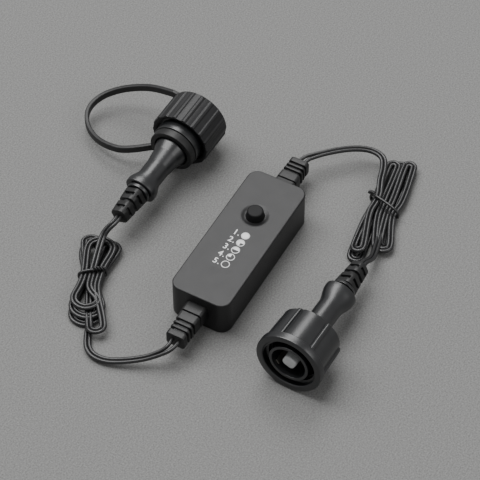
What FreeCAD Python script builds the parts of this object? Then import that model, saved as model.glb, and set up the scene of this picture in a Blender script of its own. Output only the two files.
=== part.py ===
import FreeCAD, Part
import math
import os
from FreeCAD import Placement, Rotation, Vector

# In-line dimmer for low-voltage outdoor lights. Millimetres, +Z up, origin under the middle of the box.
# +X runs along the box from the input cord (plug side) to the output cord (socket side).

# Box
BOX_LENGTH = 75.0
BOX_WIDTH = 28.0
BOX_HEIGHT = 18.4
BOX_CORNER = 5.0
BOX_EDGE = 0.6
WALL = 2.0
BASE_THICK = 2.0
BASE_FIT = 0.15
GASKET_WIDTH = 1.2
GASKET_THICK = 0.8
SCREW_INSET_X = 6.5
SCREW_INSET_Y = 5.0
SCREW_DIAMETER = 2.2
SCREW_HEAD = 4.0
SCREW_HEAD_DEPTH = 1.1
SCREW_LENGTH = 6.5
SCREW_FIT = 0.1
SCREW_POST = 4.4
SCREW_SLOT = 0.7
SCREW_TIP_GAP = 1.0

# Button and its recess
BUTTON_INSET = 23.7
RECESS_DIAMETER = 13.0
RECESS_DEPTH = 0.8
KEY_HOLE = 9.4
KEY_BASE = 8.8
KEY_TOP = 6.8
KEY_RISE = 3.3
KEY_EDGE = 0.7
KEY_FLANGE = 11.0
KEY_FLANGE_THICK = 1.0
KEY_STEM = 3.4
KEY_TRAVEL = 0.6
SEAL_OUTER = 14.6
SEAL_THICK = 0.8

# Circuit board and what stands on it; each place is the distance from the board's input end, and across
BOARD_INSET_X = 10.5
BOARD_INSET_Y = 3.5
BOARD_CORNER = 1.5
BOARD_THICK = 1.2
BOARD_BOTTOM = 5.4
BOARD_POST = 3.2
SWITCH_SIZE = 6.0
SWITCH_HEIGHT = 3.5
PLUNGER_DIAMETER = 3.4
PLUNGER_SINK = 0.9
CAP_CAN_DIAMETER = 6.3
CAP_CAN_HEIGHT = 5.4
CAP_CAN_AT = (9.5, 6.2)
CHIP_AT = (21.0, 1.0)
CHIP_LENGTH = 4.9
CHIP_WIDTH = 3.9
CHIP_HEIGHT = 1.5
LEAD_SPAN = 6.0
LEAD_WIDTH = 0.42
LEAD_PITCH = 1.27
TRANSISTOR_AT = (10.0, -2.5)
TRANSISTOR_LENGTH = 6.5
TRANSISTOR_WIDTH = 6.1
TRANSISTOR_HEIGHT = 2.3
DIODE_AT = (30.0, -6.5)
DIODE_LENGTH = 4.3
DIODE_WIDTH = 2.6
DIODE_HEIGHT = 2.2
REGULATOR_AT = (29.0, 6.5)
REGULATOR_LENGTH = 4.5
REGULATOR_WIDTH = 2.5
REGULATOR_HEIGHT = 1.5
RESISTOR_ROW_AT = (21.0, -7.0)
RESISTOR_LENGTH = 2.0
RESISTOR_WIDTH = 1.25
RESISTOR_HEIGHT = 0.5
RESISTOR_PITCH = 2.6
RESISTOR_COUNT = 5

# Strain reliefs of the box: a ribbed, tapered block with an inner flange
GLAND_Z = 9.6
GLAND_ROOT_WIDTH = 10.0
GLAND_ROOT_HEIGHT = 8.2
GLAND_END_WIDTH = 8.8
GLAND_END_HEIGHT = 7.4
GLAND_CORNER = 1.2
GLAND_CORE_SHARE = 0.66
GLAND_FIT = 0.1
GLAND_FLANGE_GROWTH = 3.0
GLAND_FLANGE_THICK = 2.0
GLAND_ROOT_BLOCK = 4.9
GLAND_SLIT = 0.5
GLAND_MIDDLE_BLOCK = 4.4
GLAND_WIDE_GROOVE = 1.2
GLAND_RIB = 1.3
GLAND_GROOVE = 1.1
GLAND_END_BLOCK = 2.8
GLAND_CHANNEL = 6.0

# Twin-lead cord: two strands moulded side by side
STRAND = 1.7
STRAND_PITCH = 1.66
WIRE = 1.1
WIRE_FIT = 0.02
WIRE_REACH = 5.5
HANK_TUBE = 2.2

# Connectors: each is drawn along its own +X, from the mouth at x = 0 towards the cord
PLUG_AT = Vector(38.9, 52.3, 14.5)
PLUG_TURN = 178.4
PLUG_DROP = 1.5
SOCKET_AT = Vector(-46.8, -48.9, 15.45)
SOCKET_TURN = -1.6
SOCKET_DROP = 3.5
PLUG_WING_ROLL = -22.0
PLUG_RELIEF_ROLL = 23.0
SOCKET_WING_ROLL = 22.0
SOCKET_RELIEF_ROLL = 22.0
SHAFT_RADIUS = 5.5
SHAFT_BORE = 3.0
TAIL_HALF_WIDTH = 7.6
TAIL_HALF_HEIGHT = 6.4
TAIL_LIP = 0.12
TAIL_STEP_RADIUS = 5.9
TAIL_STEP = 2.2
RELIEF_LENGTH = 14.6
RELIEF_ROOT = 9.8
RELIEF_END = 8.4
RELIEF_CORNER = 2.0
RELIEF_GAP = 0.5
RELIEF_GROOVE = 1.3
RELIEF_SLOT = 1.3
RELIEF_SLOT_SHARE = 0.62
RELIEF_SLOT_DEPTH = 1.7

# Coupling thread shared by the plug, the cap and the nut
THREAD_PITCH = 3.0
THREAD_ROOT = 10.9
THREAD_HEIGHT = 1.0
THREAD_CLEARANCE = 0.3
THREAD_BASE = 1.7
THREAD_TIP = 0.9
THREAD_BITE = 0.25

# Plug (under its cap)
NOSE_LENGTH = 11.4
NOSE_THREAD_START = 1.9
NOSE_TURNS = 2.6
NOSE_BORE = 9.3
COLLAR_RADIUS = 11.1
COLLAR_LENGTH = 3.2
HUB_RADIUS = 8.0
HUB_LENGTH = 6.2
NOSE_FLOOR = -0.6
WIRE_END = 3.5
PLUG_FLARE = 28.5
PLUG_TAIL = 33.4
POST_RADIUS = 6.8
POST_BORE = 3.3
POST_LENGTH = 8.4
POST_BASE = 2.0
PLUG_SEAL_THICK = 1.0

# Protective cap
CAP_RADIUS = 14.4
CAP_LENGTH = 17.7
CAP_END_WALL = 2.2
CAP_EDGE = 0.9
CAP_RIBS = 18
CAP_GROOVE = 1.5
CAP_GROOVE_DEPTH = 0.6
CAP_TURNS = 1.6
CAP_GASKET_THICK = 1.2
KNOB_NECK = 2.8
KNOB_HEAD = 4.4
KNOB_HEAD_THICK = 1.2
KNOB_GAP = 0.2

# Cap strap, from the eyelet on the cap's knob to the ring on the plug's hub
EYELET_RADIUS = 8.0
EYELET_THICK = 2.0
EYELET_FIT = 0.3
ARM_ANGLE = 19.0
ARM_REACH = 15.4
RING_INNER = 8.3
RING_OUTER = 10.3
RING_START = 4.3
RING_LENGTH = 3.9
TAB_ANGLE = -6.0
TAB_REACH = 12.4
TAB_SHARE = 0.74
STRAP_WIDTH = 2.0
STRAP_HEIGHT = 3.0
STRAP_POINTS = (
    (59.4, 75.4, 17.6), (58.8, 84.6, 14.4), (55.6, 93.8, 11.2), (49.8, 101.0, 8.2), (41.6, 103.2, 6.0),
    (33.8, 98.8, 5.4), (28.6, 91.2, 6.4), (26.4, 82.2, 8.8), (27.0, 73.4, 11.2),
)

# Socket and its coupling nut
TUBE_OUTER = 9.0
TUBE_INNER = 8.0
TUBE_LENGTH = 12.4
TUBE_SETBACK = 0.4
FLANGE_RADIUS = 10.4
FLANGE_LENGTH = 2.4
NECK_RADIUS = 7.9
NUT_FIT = 0.3
NUT_RADIUS = 15.2
NUT_RING = 2.9
NUT_LENGTH = 18.5
NUT_MOUTH = 12.5
NUT_RIDGES = 6
NUT_FIRST_RIDGE = 6.0
NUT_RIDGE_WIDTH = 1.0
NUT_RIDGE_RADIUS = 14.95
NUT_LOBE_RADIUS = 14.55
NUT_VALLEY_RADIUS = 13.75
NUT_TAPER = 0.5
NUT_EDGE = 0.8
NUT_BACK_WALL = 3.0
NUT_THREAD_START = 1.3
NUT_TURNS = 2.4
BEAD_RADIUS = 8.6
BEAD_LENGTH = 1.0
SOCKET_FLARE = 35.5
SOCKET_TAIL = 45.0
INSERT_DEPTH = 7.6
INSERT_FIT = 0.1
STUB_RADIUS = 2.95
STUB_START = 1.5
STUB_EDGE = 0.5
SOCKET_SEAL_THICK = 1.0
SOCKET_SEAL_WIDTH = 1.3
LEAF_WIDTH = 2.4
LEAF_THICK = 0.4
LEAF_START = 1.2

# Hanks: runs side by side in layers, drawn in at the waist, the last run crossing over the top
HANK_LAYER = 2.9
HANK_FLOOR = 1.95
WAIST_STEP = 2.65
RUN_SHARES = (2.45, 1.95, 1.45, 0.95, 0.45)
LEAD_OUT = 2.4
CORD_LEAD = 4.0
TIE_WIDTH = 1.2
TIE_THICK = 0.7
TIE_FIT = 0.05
KNOT_RADIUS = 0.75
KNOT_LENGTH = 4.4
INPUT_HANK_AT = Vector(-42.0, 50.0, 0.0)
INPUT_HANK_TURN = 20.0
INPUT_HANK_REACH = 24.5
INPUT_HANK_STEP = 3.6
INPUT_HANK_OVER = -0.3
INPUT_HANK_STOP = 12.4
OUTPUT_HANK_AT = Vector(54.5, -41.0, 0.0)
OUTPUT_HANK_TURN = 8.7
OUTPUT_HANK_REACH = 28.0
OUTPUT_HANK_STEP = 3.1
OUTPUT_HANK_OVER = 1.5
OUTPUT_HANK_STOP = 15.0

# Free stretches of cord, as points of the route between its two straight ends
INPUT_POINTS_A = (
    (-63.4, 3.4, 7.2), (-67.0, 8.4, 4.8), (-70.9, 15.4, 3.0), (-73.4, 22.2, 2.1), (-71.7, 28.2, 1.95),
    (-67.2, 31.6, 1.95),
)
INPUT_POINTS_B = ((-19.6, 55.1, 10.9),)
OUTPUT_POINTS_A = (
    (63.6, -3.4, 10.1), (68.2, -7.6, 10.1), (73.4, -12.8, 9.8), (77.6, -18.8, 9.2), (80.0, -25.2, 8.5),
    (79.2, -30.6, 8.0),
)
OUTPUT_POINTS_B = ((23.7, -51.3, 7.2),)


def save(name, shape):
    """Write one node, after checking that each of its solids is whole."""
    for solid in shape.Solids:
        assert solid.isValid() and solid.Volume > 0, name
    shape.exportStep("parts/" + name + ".step")


def fuse(first, *others):
    """Join touching solids into one and drop the seams between them."""
    joined = first.multiFuse(list(others)) if others else first
    joined = joined.removeSplitter()
    return joined.Solids[0] if len(joined.Solids) == 1 else joined


def group(shapes):
    """Keep separate solids together in one node."""
    return Part.makeCompound(list(shapes))


def cylinder(radius, start, end, at=(0.0, 0.0)):
    """Upright cylinder between two heights."""
    return Part.makeCylinder(radius, end - start, Vector(at[0], at[1], start))


def slab(size_x, size_y, start, end, at=(0.0, 0.0)):
    """Upright box between two heights, centred on a point."""
    corner = Vector(at[0] - size_x / 2, at[1] - size_y / 2, start)
    return Part.makeBox(size_x, size_y, end - start, corner)


def rounded_wire(width, height, corner):
    """Rounded rectangle in the XY plane, as four lines and four quarter arcs."""
    half_w = width / 2
    half_h = height / 2
    diagonal = corner * (1 - math.sqrt(0.5))
    edges = []
    for sign_x, sign_y in ((1, 1), (-1, 1), (-1, -1), (1, -1)):
        side = Vector(sign_x * half_w, sign_y * (half_h - corner), 0)
        middle = Vector(sign_x * (half_w - diagonal), sign_y * (half_h - diagonal), 0)
        top = Vector(sign_x * (half_w - corner), sign_y * half_h, 0)
        ends = (side, top) if sign_x == sign_y else (top, side)
        edges.append(Part.Arc(ends[0], middle, ends[1]).toShape())
    closed = []
    for index, edge in enumerate(edges):
        following = edges[(index + 1) % len(edges)]
        closed.append(edge)
        closed.append(Part.LineSegment(edge.lastVertex().Point, following.firstVertex().Point).toShape())
    return Part.Wire(closed)


def rounded_slab(length, width, start, end, corner):
    """Upright prism with rounded corners."""
    face = Part.Face(rounded_wire(length, width, corner))
    face.translate(Vector(0, 0, start))
    return face.extrude(Vector(0, 0, end - start))


def across(shape, x):
    """Turn a flat shape from the XY plane to face +X at a station: its X becomes Y and its Y becomes Z."""
    turned = shape.copy()
    turned.transformShape(FreeCAD.Matrix(0, 0, 1, x, 1, 0, 0, 0, 0, 1, 0, 0))
    return turned


def taper(start, end, first, last):
    """Straight-sided solid along X between two rounded rectangles (width, height, corner)."""
    wires = [across(rounded_wire(*first), start), across(rounded_wire(*last), end)]
    return Part.makeLoft(wires, True, True)


def turned(profile):
    """Solid of revolution about X from (x, radius) points."""
    points = [Vector(x, 0, radius) for x, radius in profile]
    face = Part.Face(Part.makePolygon(points + points[:1]))
    return face.revolve(Vector(0, 0, 0), Vector(1, 0, 0), 360)


def sleeve(start, end, inner, outer):
    """Plain ring about X."""
    return turned(((start, inner), (end, inner), (end, outer), (start, outer)))


def rod(start, end, radius, at=(0.0, 0.0)):
    """Round rod along X at a place (y, z)."""
    return Part.makeCylinder(radius, end - start, Vector(start, at[0], at[1]), Vector(1, 0, 0))


def thread(start, turns, radius, height):
    """Right-hand ridge about X; a negative height points it inwards."""
    out = math.copysign(1.0, height)
    shape = ((-THREAD_BITE * out, THREAD_BASE / 2), (height, THREAD_TIP / 2))
    corners = [Vector(radius + dr, 0, half) for dr, half in shape]
    corners += [Vector(radius + dr, 0, -half) for dr, half in reversed(shape)]
    profile = Part.makePolygon(corners + corners[:1])
    helix = Part.Wire(Part.makeHelix(THREAD_PITCH, THREAD_PITCH * turns, radius).Edges)
    ridge = helix.makePipeShell([profile], True, True)
    ridge.rotate(Vector(0, 0, 0), Vector(0, 1, 0), 90)
    ridge.translate(Vector(start, 0, 0))
    return ridge


def place(shape, at, turn, drop):
    """Move a piece from a connector's own axes to where the connector lies."""
    placed = shape.copy()
    placed.Placement = Placement(at, Rotation(turn, drop, 0)).multiply(placed.Placement)
    return placed


def on_plug(shape):
    return place(shape, PLUG_AT, PLUG_TURN, PLUG_DROP)


def on_socket(shape):
    return place(shape, SOCKET_AT, SOCKET_TURN, SOCKET_DROP)


def screw_places():
    for x in (-1, 1):
        for y in (-1, 1):
            yield x * (BOX_LENGTH / 2 - SCREW_INSET_X), y * (BOX_WIDTH / 2 - SCREW_INSET_Y)


def on_board(place):
    """A component's place, from its distance to the board's input end."""
    return place[0] - BOARD_LENGTH / 2, place[1]


# Lengths outwards from the wall: blocks and ribs, each followed by the groove behind it
GLAND_STEPS = (
    GLAND_ROOT_BLOCK, GLAND_SLIT, GLAND_MIDDLE_BLOCK, GLAND_WIDE_GROOVE, GLAND_RIB, GLAND_GROOVE, GLAND_RIB,
    GLAND_GROOVE, GLAND_END_BLOCK,
)

# Sizes and levels inside the box
BOARD_LENGTH = BOX_LENGTH - 2 * BOARD_INSET_X
BOARD_WIDTH = BOX_WIDTH - 2 * BOARD_INSET_Y
BUTTON_X = BOX_LENGTH / 2 - BUTTON_INSET
CEILING = BOX_HEIGHT - WALL
BASE_TOP = BASE_THICK
BOARD_TOP = BOARD_BOTTOM + BOARD_THICK
RECESS_FLOOR = BOX_HEIGHT - RECESS_DEPTH
RECESS_BOSS = RECESS_FLOOR - WALL
KEY_FLANGE_TOP = RECESS_BOSS - NUT_FIT
KEY_FLANGE_BOTTOM = KEY_FLANGE_TOP - KEY_FLANGE_THICK
SWITCH_TOP = BOARD_TOP + SWITCH_HEIGHT
PLUNGER_TOP = SWITCH_TOP + PLUNGER_SINK
BUTTON_AT = (BUTTON_X, 0.0)


def upper_shell():
    """Deep cover with rounded corners, a dished recess for the button and holes for both cords."""
    shell = rounded_slab(BOX_LENGTH, BOX_WIDTH, 0, BOX_HEIGHT, BOX_CORNER)
    rims = [e for e in shell.Edges if abs(e.BoundBox.ZMin - e.BoundBox.ZMax) < 0.01]
    shell = shell.makeFillet(BOX_EDGE, rims)
    inside = rounded_slab(BOX_LENGTH - 2 * WALL, BOX_WIDTH - 2 * WALL, -1, CEILING, BOX_CORNER - WALL)
    boss = cylinder(RECESS_DIAMETER / 2 + WALL, RECESS_BOSS, CEILING + 1, BUTTON_AT)
    post_base = BASE_TOP + GASKET_THICK
    posts = [cylinder(SCREW_POST / 2, post_base, CEILING + 1, at) for at in screw_places()]
    ribs = []
    for x, y in screw_places():
        middle = math.copysign(abs(y) + SCREW_INSET_Y / 2, y)
        ribs.append(slab(1.2, SCREW_INSET_Y, post_base, CEILING + 1, (x, middle)))
    shell = shell.cut(inside)
    shell = fuse(shell, boss, *posts, *ribs)
    dish = Part.makeCone(RECESS_DIAMETER / 2 - RECESS_DEPTH, RECESS_DIAMETER / 2 + 0.2, RECESS_DEPTH + 0.2,
                         Vector(BUTTON_X, 0, RECESS_FLOOR))
    cuts = [dish, cylinder(KEY_HOLE / 2, RECESS_BOSS - 1, BOX_HEIGHT, BUTTON_AT)]
    for at in screw_places():
        cuts.append(cylinder(SCREW_DIAMETER / 2 + SCREW_FIT, post_base - 1,
                             SCREW_HEAD_DEPTH + SCREW_LENGTH + SCREW_TIP_GAP, at))
    for sign in (-1, 1):
        hole = taper(0, WALL * 3, *(2 * [gland_section(0, GLAND_FIT)]))
        hole.translate(Vector(BOX_LENGTH / 2 - 2 * WALL, 0, GLAND_Z))
        cuts.append(hole if sign > 0 else mirrored(hole))
    return shell.cut(group(cuts)).Solids[0]


def base_plate():
    """Bottom cover let into the shell, with countersunk screw holes and four short board posts."""
    fit = WALL + BASE_FIT
    plate = rounded_slab(BOX_LENGTH - 2 * fit, BOX_WIDTH - 2 * fit, 0, BASE_TOP, BOX_CORNER - fit)
    posts = [cylinder(BOARD_POST / 2, BASE_TOP - 0.5, BOARD_BOTTOM, at) for at in board_corners()]
    plate = fuse(plate, *posts)
    holes = []
    for at in screw_places():
        holes.append(cylinder(SCREW_DIAMETER / 2 + SCREW_FIT, -1, BASE_TOP + 1, at))
        holes.append(cylinder(SCREW_HEAD / 2 + SCREW_FIT, -1, SCREW_HEAD_DEPTH, at))
    return plate.cut(group(holes)).Solids[0]


def board_corners():
    for x in (-1, 1):
        for y in (-1, 1):
            yield x * (BOARD_LENGTH / 2 - BOARD_POST), y * (BOARD_WIDTH / 2 - BOARD_POST)


def base_gasket():
    """Flat sealing ring between the base plate and the screw posts' level, inside the walls."""
    outer = WALL + BASE_FIT
    inner = outer + GASKET_WIDTH
    top = BASE_TOP + GASKET_THICK
    ring = rounded_slab(BOX_LENGTH - 2 * outer, BOX_WIDTH - 2 * outer, BASE_TOP, top, BOX_CORNER - outer)
    hole = rounded_slab(BOX_LENGTH - 2 * inner, BOX_WIDTH - 2 * inner, BASE_TOP - 1, top + 1,
                        BOX_CORNER - inner)
    return ring.cut(hole)


def case_screws():
    """Four pan-head screws from below, with a cross slot."""
    screws = []
    for x, y in screw_places():
        head = cylinder(SCREW_HEAD / 2, 0.2, SCREW_HEAD_DEPTH, (x, y))
        shank = cylinder(SCREW_DIAMETER / 2, SCREW_HEAD_DEPTH, SCREW_HEAD_DEPTH + SCREW_LENGTH, (x, y))
        screw = fuse(head, shank)
        slots = fuse(slab(SCREW_HEAD * 0.7, SCREW_SLOT, -0.1, 0.7, (x, y)),
                     slab(SCREW_SLOT, SCREW_HEAD * 0.7, -0.1, 0.7, (x, y)))
        screws.append(screw.cut(slots).Solids[0])
    return group(screws)


def gland_section(x, growth=0.0):
    """Rounded rectangle of a box strain relief at a distance outwards from the wall."""
    share = max(0.0, x) / sum(GLAND_STEPS)
    width = GLAND_ROOT_WIDTH + (GLAND_END_WIDTH - GLAND_ROOT_WIDTH) * share
    height = GLAND_ROOT_HEIGHT + (GLAND_END_HEIGHT - GLAND_ROOT_HEIGHT) * share
    return width + 2 * growth, height + 2 * growth, GLAND_CORNER + growth


def strain_relief():
    """Output strain relief: blocks and ribs on a slimmer core, held by a flange inside the wall."""
    length = sum(GLAND_STEPS)
    pieces = []
    x = 0.0
    for index, step in enumerate(GLAND_STEPS):
        if index % 2 == 0:
            pieces.append(taper(x, x + step, gland_section(x), gland_section(x + step)))
        x += step
    root = gland_section(0)
    end = gland_section(length)
    core = [tuple(size * GLAND_CORE_SHARE for size in section) for section in (root, end)]
    pieces.append(taper(1.0, length - 1.0, core[0], core[1]))
    neck = taper(-WALL - GLAND_FIT, 0.5, root, root)
    inner = tuple(size + GLAND_FLANGE_GROWTH for size in root[:2]) + (GLAND_CORNER,)
    flange = taper(-WALL - GLAND_FIT - GLAND_FLANGE_THICK, -WALL - GLAND_FIT, inner, inner)
    relief = fuse(neck, flange, *pieces)
    relief.translate(Vector(BOX_LENGTH / 2, 0, GLAND_Z))
    channel = BOX_LENGTH / 2 - WALL - GLAND_FLANGE_THICK - 1
    drill = [rod(channel, BOX_LENGTH / 2 + GLAND_CHANNEL, WIRE / 2 + WIRE_FIT, at) for at in strand_places()]
    return relief.cut(group(drill)).Solids[0]


def strand_places(height=None):
    """Where the two strands of the cord pass, as (y, z)."""
    level = GLAND_Z if height is None else height
    return (-STRAND_PITCH / 2, level), (STRAND_PITCH / 2, level)


def mirrored(shape):
    """The same piece for the other end of the box."""
    turned_piece = shape.copy()
    turned_piece.rotate(Vector(0, 0, 0), Vector(0, 0, 1), 180)
    return turned_piece


def board_wires():
    """Two insulated wires from the output strain relief down to pads on the board."""
    wires = []
    start = BOX_LENGTH / 2 + WIRE_REACH
    pad_x = BOARD_LENGTH / 2 - 1.6
    top = GLAND_Z
    for y, z in strand_places():
        turn = WIRE * 0.9
        corner = Vector(pad_x, y, top)
        edges = [Part.LineSegment(Vector(start, y, z), corner + Vector(turn, 0, 0)).toShape()]
        middle = corner + Vector(turn, 0, -turn) + Vector(-turn, 0, turn) * math.sqrt(0.5)
        down = corner - Vector(0, 0, turn)
        edges.append(Part.Arc(corner + Vector(turn, 0, 0), middle, down).toShape())
        edges.append(Part.LineSegment(down, Vector(pad_x, y, BOARD_TOP)).toShape())
        wires.append(pipe(Part.Wire(edges), circle_section(WIRE / 2, Vector(start, y, z), Vector(-1, 0, 0))))
    return group(wires)


def circuit_board():
    """Board with rounded corners, resting on the base plate's posts."""
    return rounded_slab(BOARD_LENGTH, BOARD_WIDTH, BOARD_BOTTOM, BOARD_TOP, BOARD_CORNER)


def tactile_switch():
    """Square switch body with a round opening for its plunger."""
    body = slab(SWITCH_SIZE, SWITCH_SIZE, BOARD_TOP, SWITCH_TOP, BUTTON_AT)
    rims = [e for e in body.Edges if abs(e.BoundBox.ZMin - e.BoundBox.ZMax) > 1]
    body = body.makeFillet(0.5, rims)
    well = cylinder(PLUNGER_DIAMETER / 2 + 0.15, SWITCH_TOP - KEY_TRAVEL - 0.6, SWITCH_TOP + 1, BUTTON_AT)
    return body.cut(well)


def switch_plunger():
    """Actuator of the switch, which the key rests on."""
    return cylinder(PLUNGER_DIAMETER / 2, SWITCH_TOP - 0.5, PLUNGER_TOP, BUTTON_AT)


def button_key():
    """Soft-touch button: a cone above the recess, a flange under the cover and a stem on the switch."""
    cone_top = BOX_HEIGHT + KEY_RISE
    profile = (
        (PLUNGER_TOP, 0), (PLUNGER_TOP, KEY_STEM / 2), (KEY_FLANGE_BOTTOM, KEY_STEM / 2),
        (KEY_FLANGE_BOTTOM, KEY_FLANGE / 2), (KEY_FLANGE_TOP, KEY_FLANGE / 2),
        (KEY_FLANGE_TOP, KEY_BASE / 2), (RECESS_FLOOR + 0.2, KEY_BASE / 2), (cone_top, KEY_TOP / 2),
        (cone_top, 0),
    )
    key = turned(profile)
    key.rotate(Vector(0, 0, 0), Vector(0, 1, 0), -90)
    key.translate(Vector(BUTTON_X, 0, 0))
    crown = [e for e in key.Edges if e.BoundBox.ZMin > cone_top - 0.01]
    return key.makeFillet(KEY_EDGE, crown)


def button_seal():
    """Thin sealing collar round the key's flange, pressed against the boss under the cover."""
    inner = KEY_FLANGE / 2 + NUT_FIT
    top = RECESS_BOSS
    collar = cylinder(SEAL_OUTER / 2, top - SEAL_THICK, top, BUTTON_AT)
    return collar.cut(cylinder(inner, top - 2, top + 1, BUTTON_AT))


def leaded_chip():
    """Eight-lead controller chip."""
    at = on_board(CHIP_AT)
    body = slab(CHIP_LENGTH, CHIP_WIDTH, BOARD_TOP + 0.1, BOARD_TOP + CHIP_HEIGHT, at)
    leads = []
    for index in range(4):
        x = at[0] + (index - 1.5) * LEAD_PITCH
        leads.append(slab(LEAD_WIDTH, LEAD_SPAN, BOARD_TOP, BOARD_TOP + 0.3, (x, at[1])))
    return fuse(body, *leads)


def power_transistor():
    """Power transistor with its tab and two leads."""
    at = on_board(TRANSISTOR_AT)
    body = slab(TRANSISTOR_LENGTH, TRANSISTOR_WIDTH, BOARD_TOP + 0.1, BOARD_TOP + TRANSISTOR_HEIGHT, at)
    tab = slab(TRANSISTOR_LENGTH - 1.2, 2.0, BOARD_TOP, BOARD_TOP + 0.5, (at[0], at[1] + 3.6))
    leads = [slab(0.8, 3.0, BOARD_TOP, BOARD_TOP + 0.5, (at[0] + x, at[1] - 4.0)) for x in (-2.3, 2.3)]
    return fuse(body, tab, *leads)


def smoothing_capacitor():
    """Aluminium can on its square foot."""
    at = on_board(CAP_CAN_AT)
    foot = slab(CAP_CAN_DIAMETER - 0.3, CAP_CAN_DIAMETER - 0.3, BOARD_TOP, BOARD_TOP + 0.8, at)
    can = cylinder(CAP_CAN_DIAMETER / 2 - 0.2, BOARD_TOP + 0.5, BOARD_TOP + CAP_CAN_HEIGHT, at)
    return fuse(foot, can)


def small_block(length, width, height, place):
    """Small moulded component with end terminals."""
    at = on_board(place)
    body = slab(length, width, BOARD_TOP + 0.1, BOARD_TOP + height, at)
    ends = slab(length + 0.8, width * 0.6, BOARD_TOP, BOARD_TOP + 0.4, at)
    return fuse(body, ends)


def chip_resistors():
    """Row of chip resistors."""
    middle, y = on_board(RESISTOR_ROW_AT)
    top = BOARD_TOP + RESISTOR_HEIGHT
    blocks = []
    for index in range(RESISTOR_COUNT):
        x = middle + (index - (RESISTOR_COUNT - 1) / 2) * RESISTOR_PITCH
        blocks.append(slab(RESISTOR_WIDTH, RESISTOR_LENGTH, BOARD_TOP, top, (x, y)))
    return group(blocks)


def tail(flare, end, roll):
    """Rear of a connector body: the shaft widens into two finger wings and ends in a stepped disc."""
    reach = end - flare
    stations = (
        (flare, SHAFT_RADIUS + TAIL_LIP, SHAFT_RADIUS + TAIL_LIP),
        (flare + reach * 0.35, SHAFT_RADIUS + 0.7, SHAFT_RADIUS + 0.25),
        (flare + reach * 0.68, TAIL_HALF_WIDTH - 0.25, SHAFT_RADIUS + 0.55),
        (end, TAIL_HALF_WIDTH, TAIL_HALF_HEIGHT),
    )
    wires = []
    for x, half_width, half_height in stations:
        oval = Part.Ellipse(Vector(0, 0, 0), max(half_width, half_height + 0.001), half_height)
        wires.append(across(Part.Wire(oval.toShape()), x))
    wings = Part.makeLoft(wires, True, False)
    wings.rotate(Vector(0, 0, 0), Vector(1, 0, 0), roll)
    step = rod(end - 1, end + TAIL_STEP, TAIL_STEP_RADIUS)
    return wings, step


def relief_section(share):
    size = RELIEF_ROOT + (RELIEF_END - RELIEF_ROOT) * share
    return size, size, RELIEF_CORNER


def connector_relief(start, roll):
    """Square strain relief: two blocks with a window slot in each face, parted by ring grooves."""
    block = (RELIEF_LENGTH - RELIEF_GAP - RELIEF_GROOVE) / 2
    first = (start + RELIEF_GAP, start + RELIEF_GAP + block)
    second = (first[1] + RELIEF_GROOVE, start + RELIEF_LENGTH)
    core = rod(start, second[1] - 1, RELIEF_END / 2 - 1.1)
    pieces = [core]
    slots = []
    for begin, finish in (first, second):
        sections = [relief_section((x - start) / RELIEF_LENGTH) for x in (begin, finish)]
        pieces.append(taper(begin, finish, *sections))
        middle = (begin + finish) / 2
        size = sections[0][0]
        width = size * RELIEF_SLOT_SHARE
        slot = Part.makeBox(RELIEF_SLOT, width, 3.0)
        slot.translate(Vector(middle - RELIEF_SLOT / 2, -width / 2, size / 2 - RELIEF_SLOT_DEPTH))
        for turn in range(4):
            side = slot.copy()
            side.rotate(Vector(0, 0, 0), Vector(1, 0, 0), 90 * turn)
            slots.append(side)
    spigot = rod(start - 6.0, start + 1, SHAFT_BORE - 0.05)
    relief = fuse(*pieces, spigot).cut(group(slots))
    relief.rotate(Vector(0, 0, 0), Vector(1, 0, 0), roll)
    drill = [rod(start - 7, start + 4, WIRE / 2 + WIRE_FIT, at) for at in strand_places(0.0)]
    return relief.cut(group(drill)).Solids[0]


def plug_body():
    """Threaded nose, collar, hub for the strap's ring, shaft and winged tail, moulded in one piece."""
    profile = (
        (-NOSE_LENGTH, NOSE_BORE), (-NOSE_LENGTH, THREAD_ROOT), (0.6, THREAD_ROOT),
        (0.6, COLLAR_RADIUS), (0.6 + COLLAR_LENGTH, COLLAR_RADIUS), (0.6 + COLLAR_LENGTH, HUB_RADIUS),
        (HUB_LENGTH, HUB_RADIUS), (HUB_LENGTH + 0.8, SHAFT_RADIUS), (PLUG_FLARE + 0.5, SHAFT_RADIUS),
        (PLUG_FLARE + 0.5, 0), (NOSE_FLOOR, 0), (NOSE_FLOOR, NOSE_BORE),
    )
    wings, step = tail(PLUG_FLARE, PLUG_TAIL, PLUG_WING_ROLL)
    ridge = thread(-NOSE_THREAD_START - NOSE_TURNS * THREAD_PITCH, NOSE_TURNS, THREAD_ROOT, THREAD_HEIGHT)
    body = fuse(turned(profile), wings, step).fuse(ridge)
    bore = rod(NOSE_FLOOR - 1, PLUG_TAIL + TAIL_STEP + 1, SHAFT_BORE)
    return body.cut(bore).Solids[0]


def plug_insert():
    """Insulating post in the nose, bored for the socket's stub."""
    base = NOSE_FLOOR
    post = turned((
        (base - POST_BASE - POST_LENGTH, POST_BORE), (base - POST_BASE - POST_LENGTH, POST_RADIUS),
        (base - POST_BASE, POST_RADIUS), (base - POST_BASE, NOSE_BORE - INSERT_FIT),
        (base, NOSE_BORE - INSERT_FIT), (base, 0), (base - POST_BASE, 0), (base - POST_BASE, POST_BORE),
    ))
    return post.cut(group(contact_slots(base - POST_BASE - POST_LENGTH, base + 1, POST_RADIUS)))


def contact_slots(start, end, radius, clearance=0.05):
    """Grooves for a pair of contact strips on the outside of a post."""
    slots = []
    for sign in (-1, 1):
        depth = LEAF_THICK + clearance
        width = LEAF_WIDTH + 2 * clearance
        slot = Part.makeBox(end - start, depth + 0.6, width)
        y = radius - depth if sign > 0 else -radius - 0.6
        slot.translate(Vector(start, y, -width / 2))
        slots.append(slot)
    return slots


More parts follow.
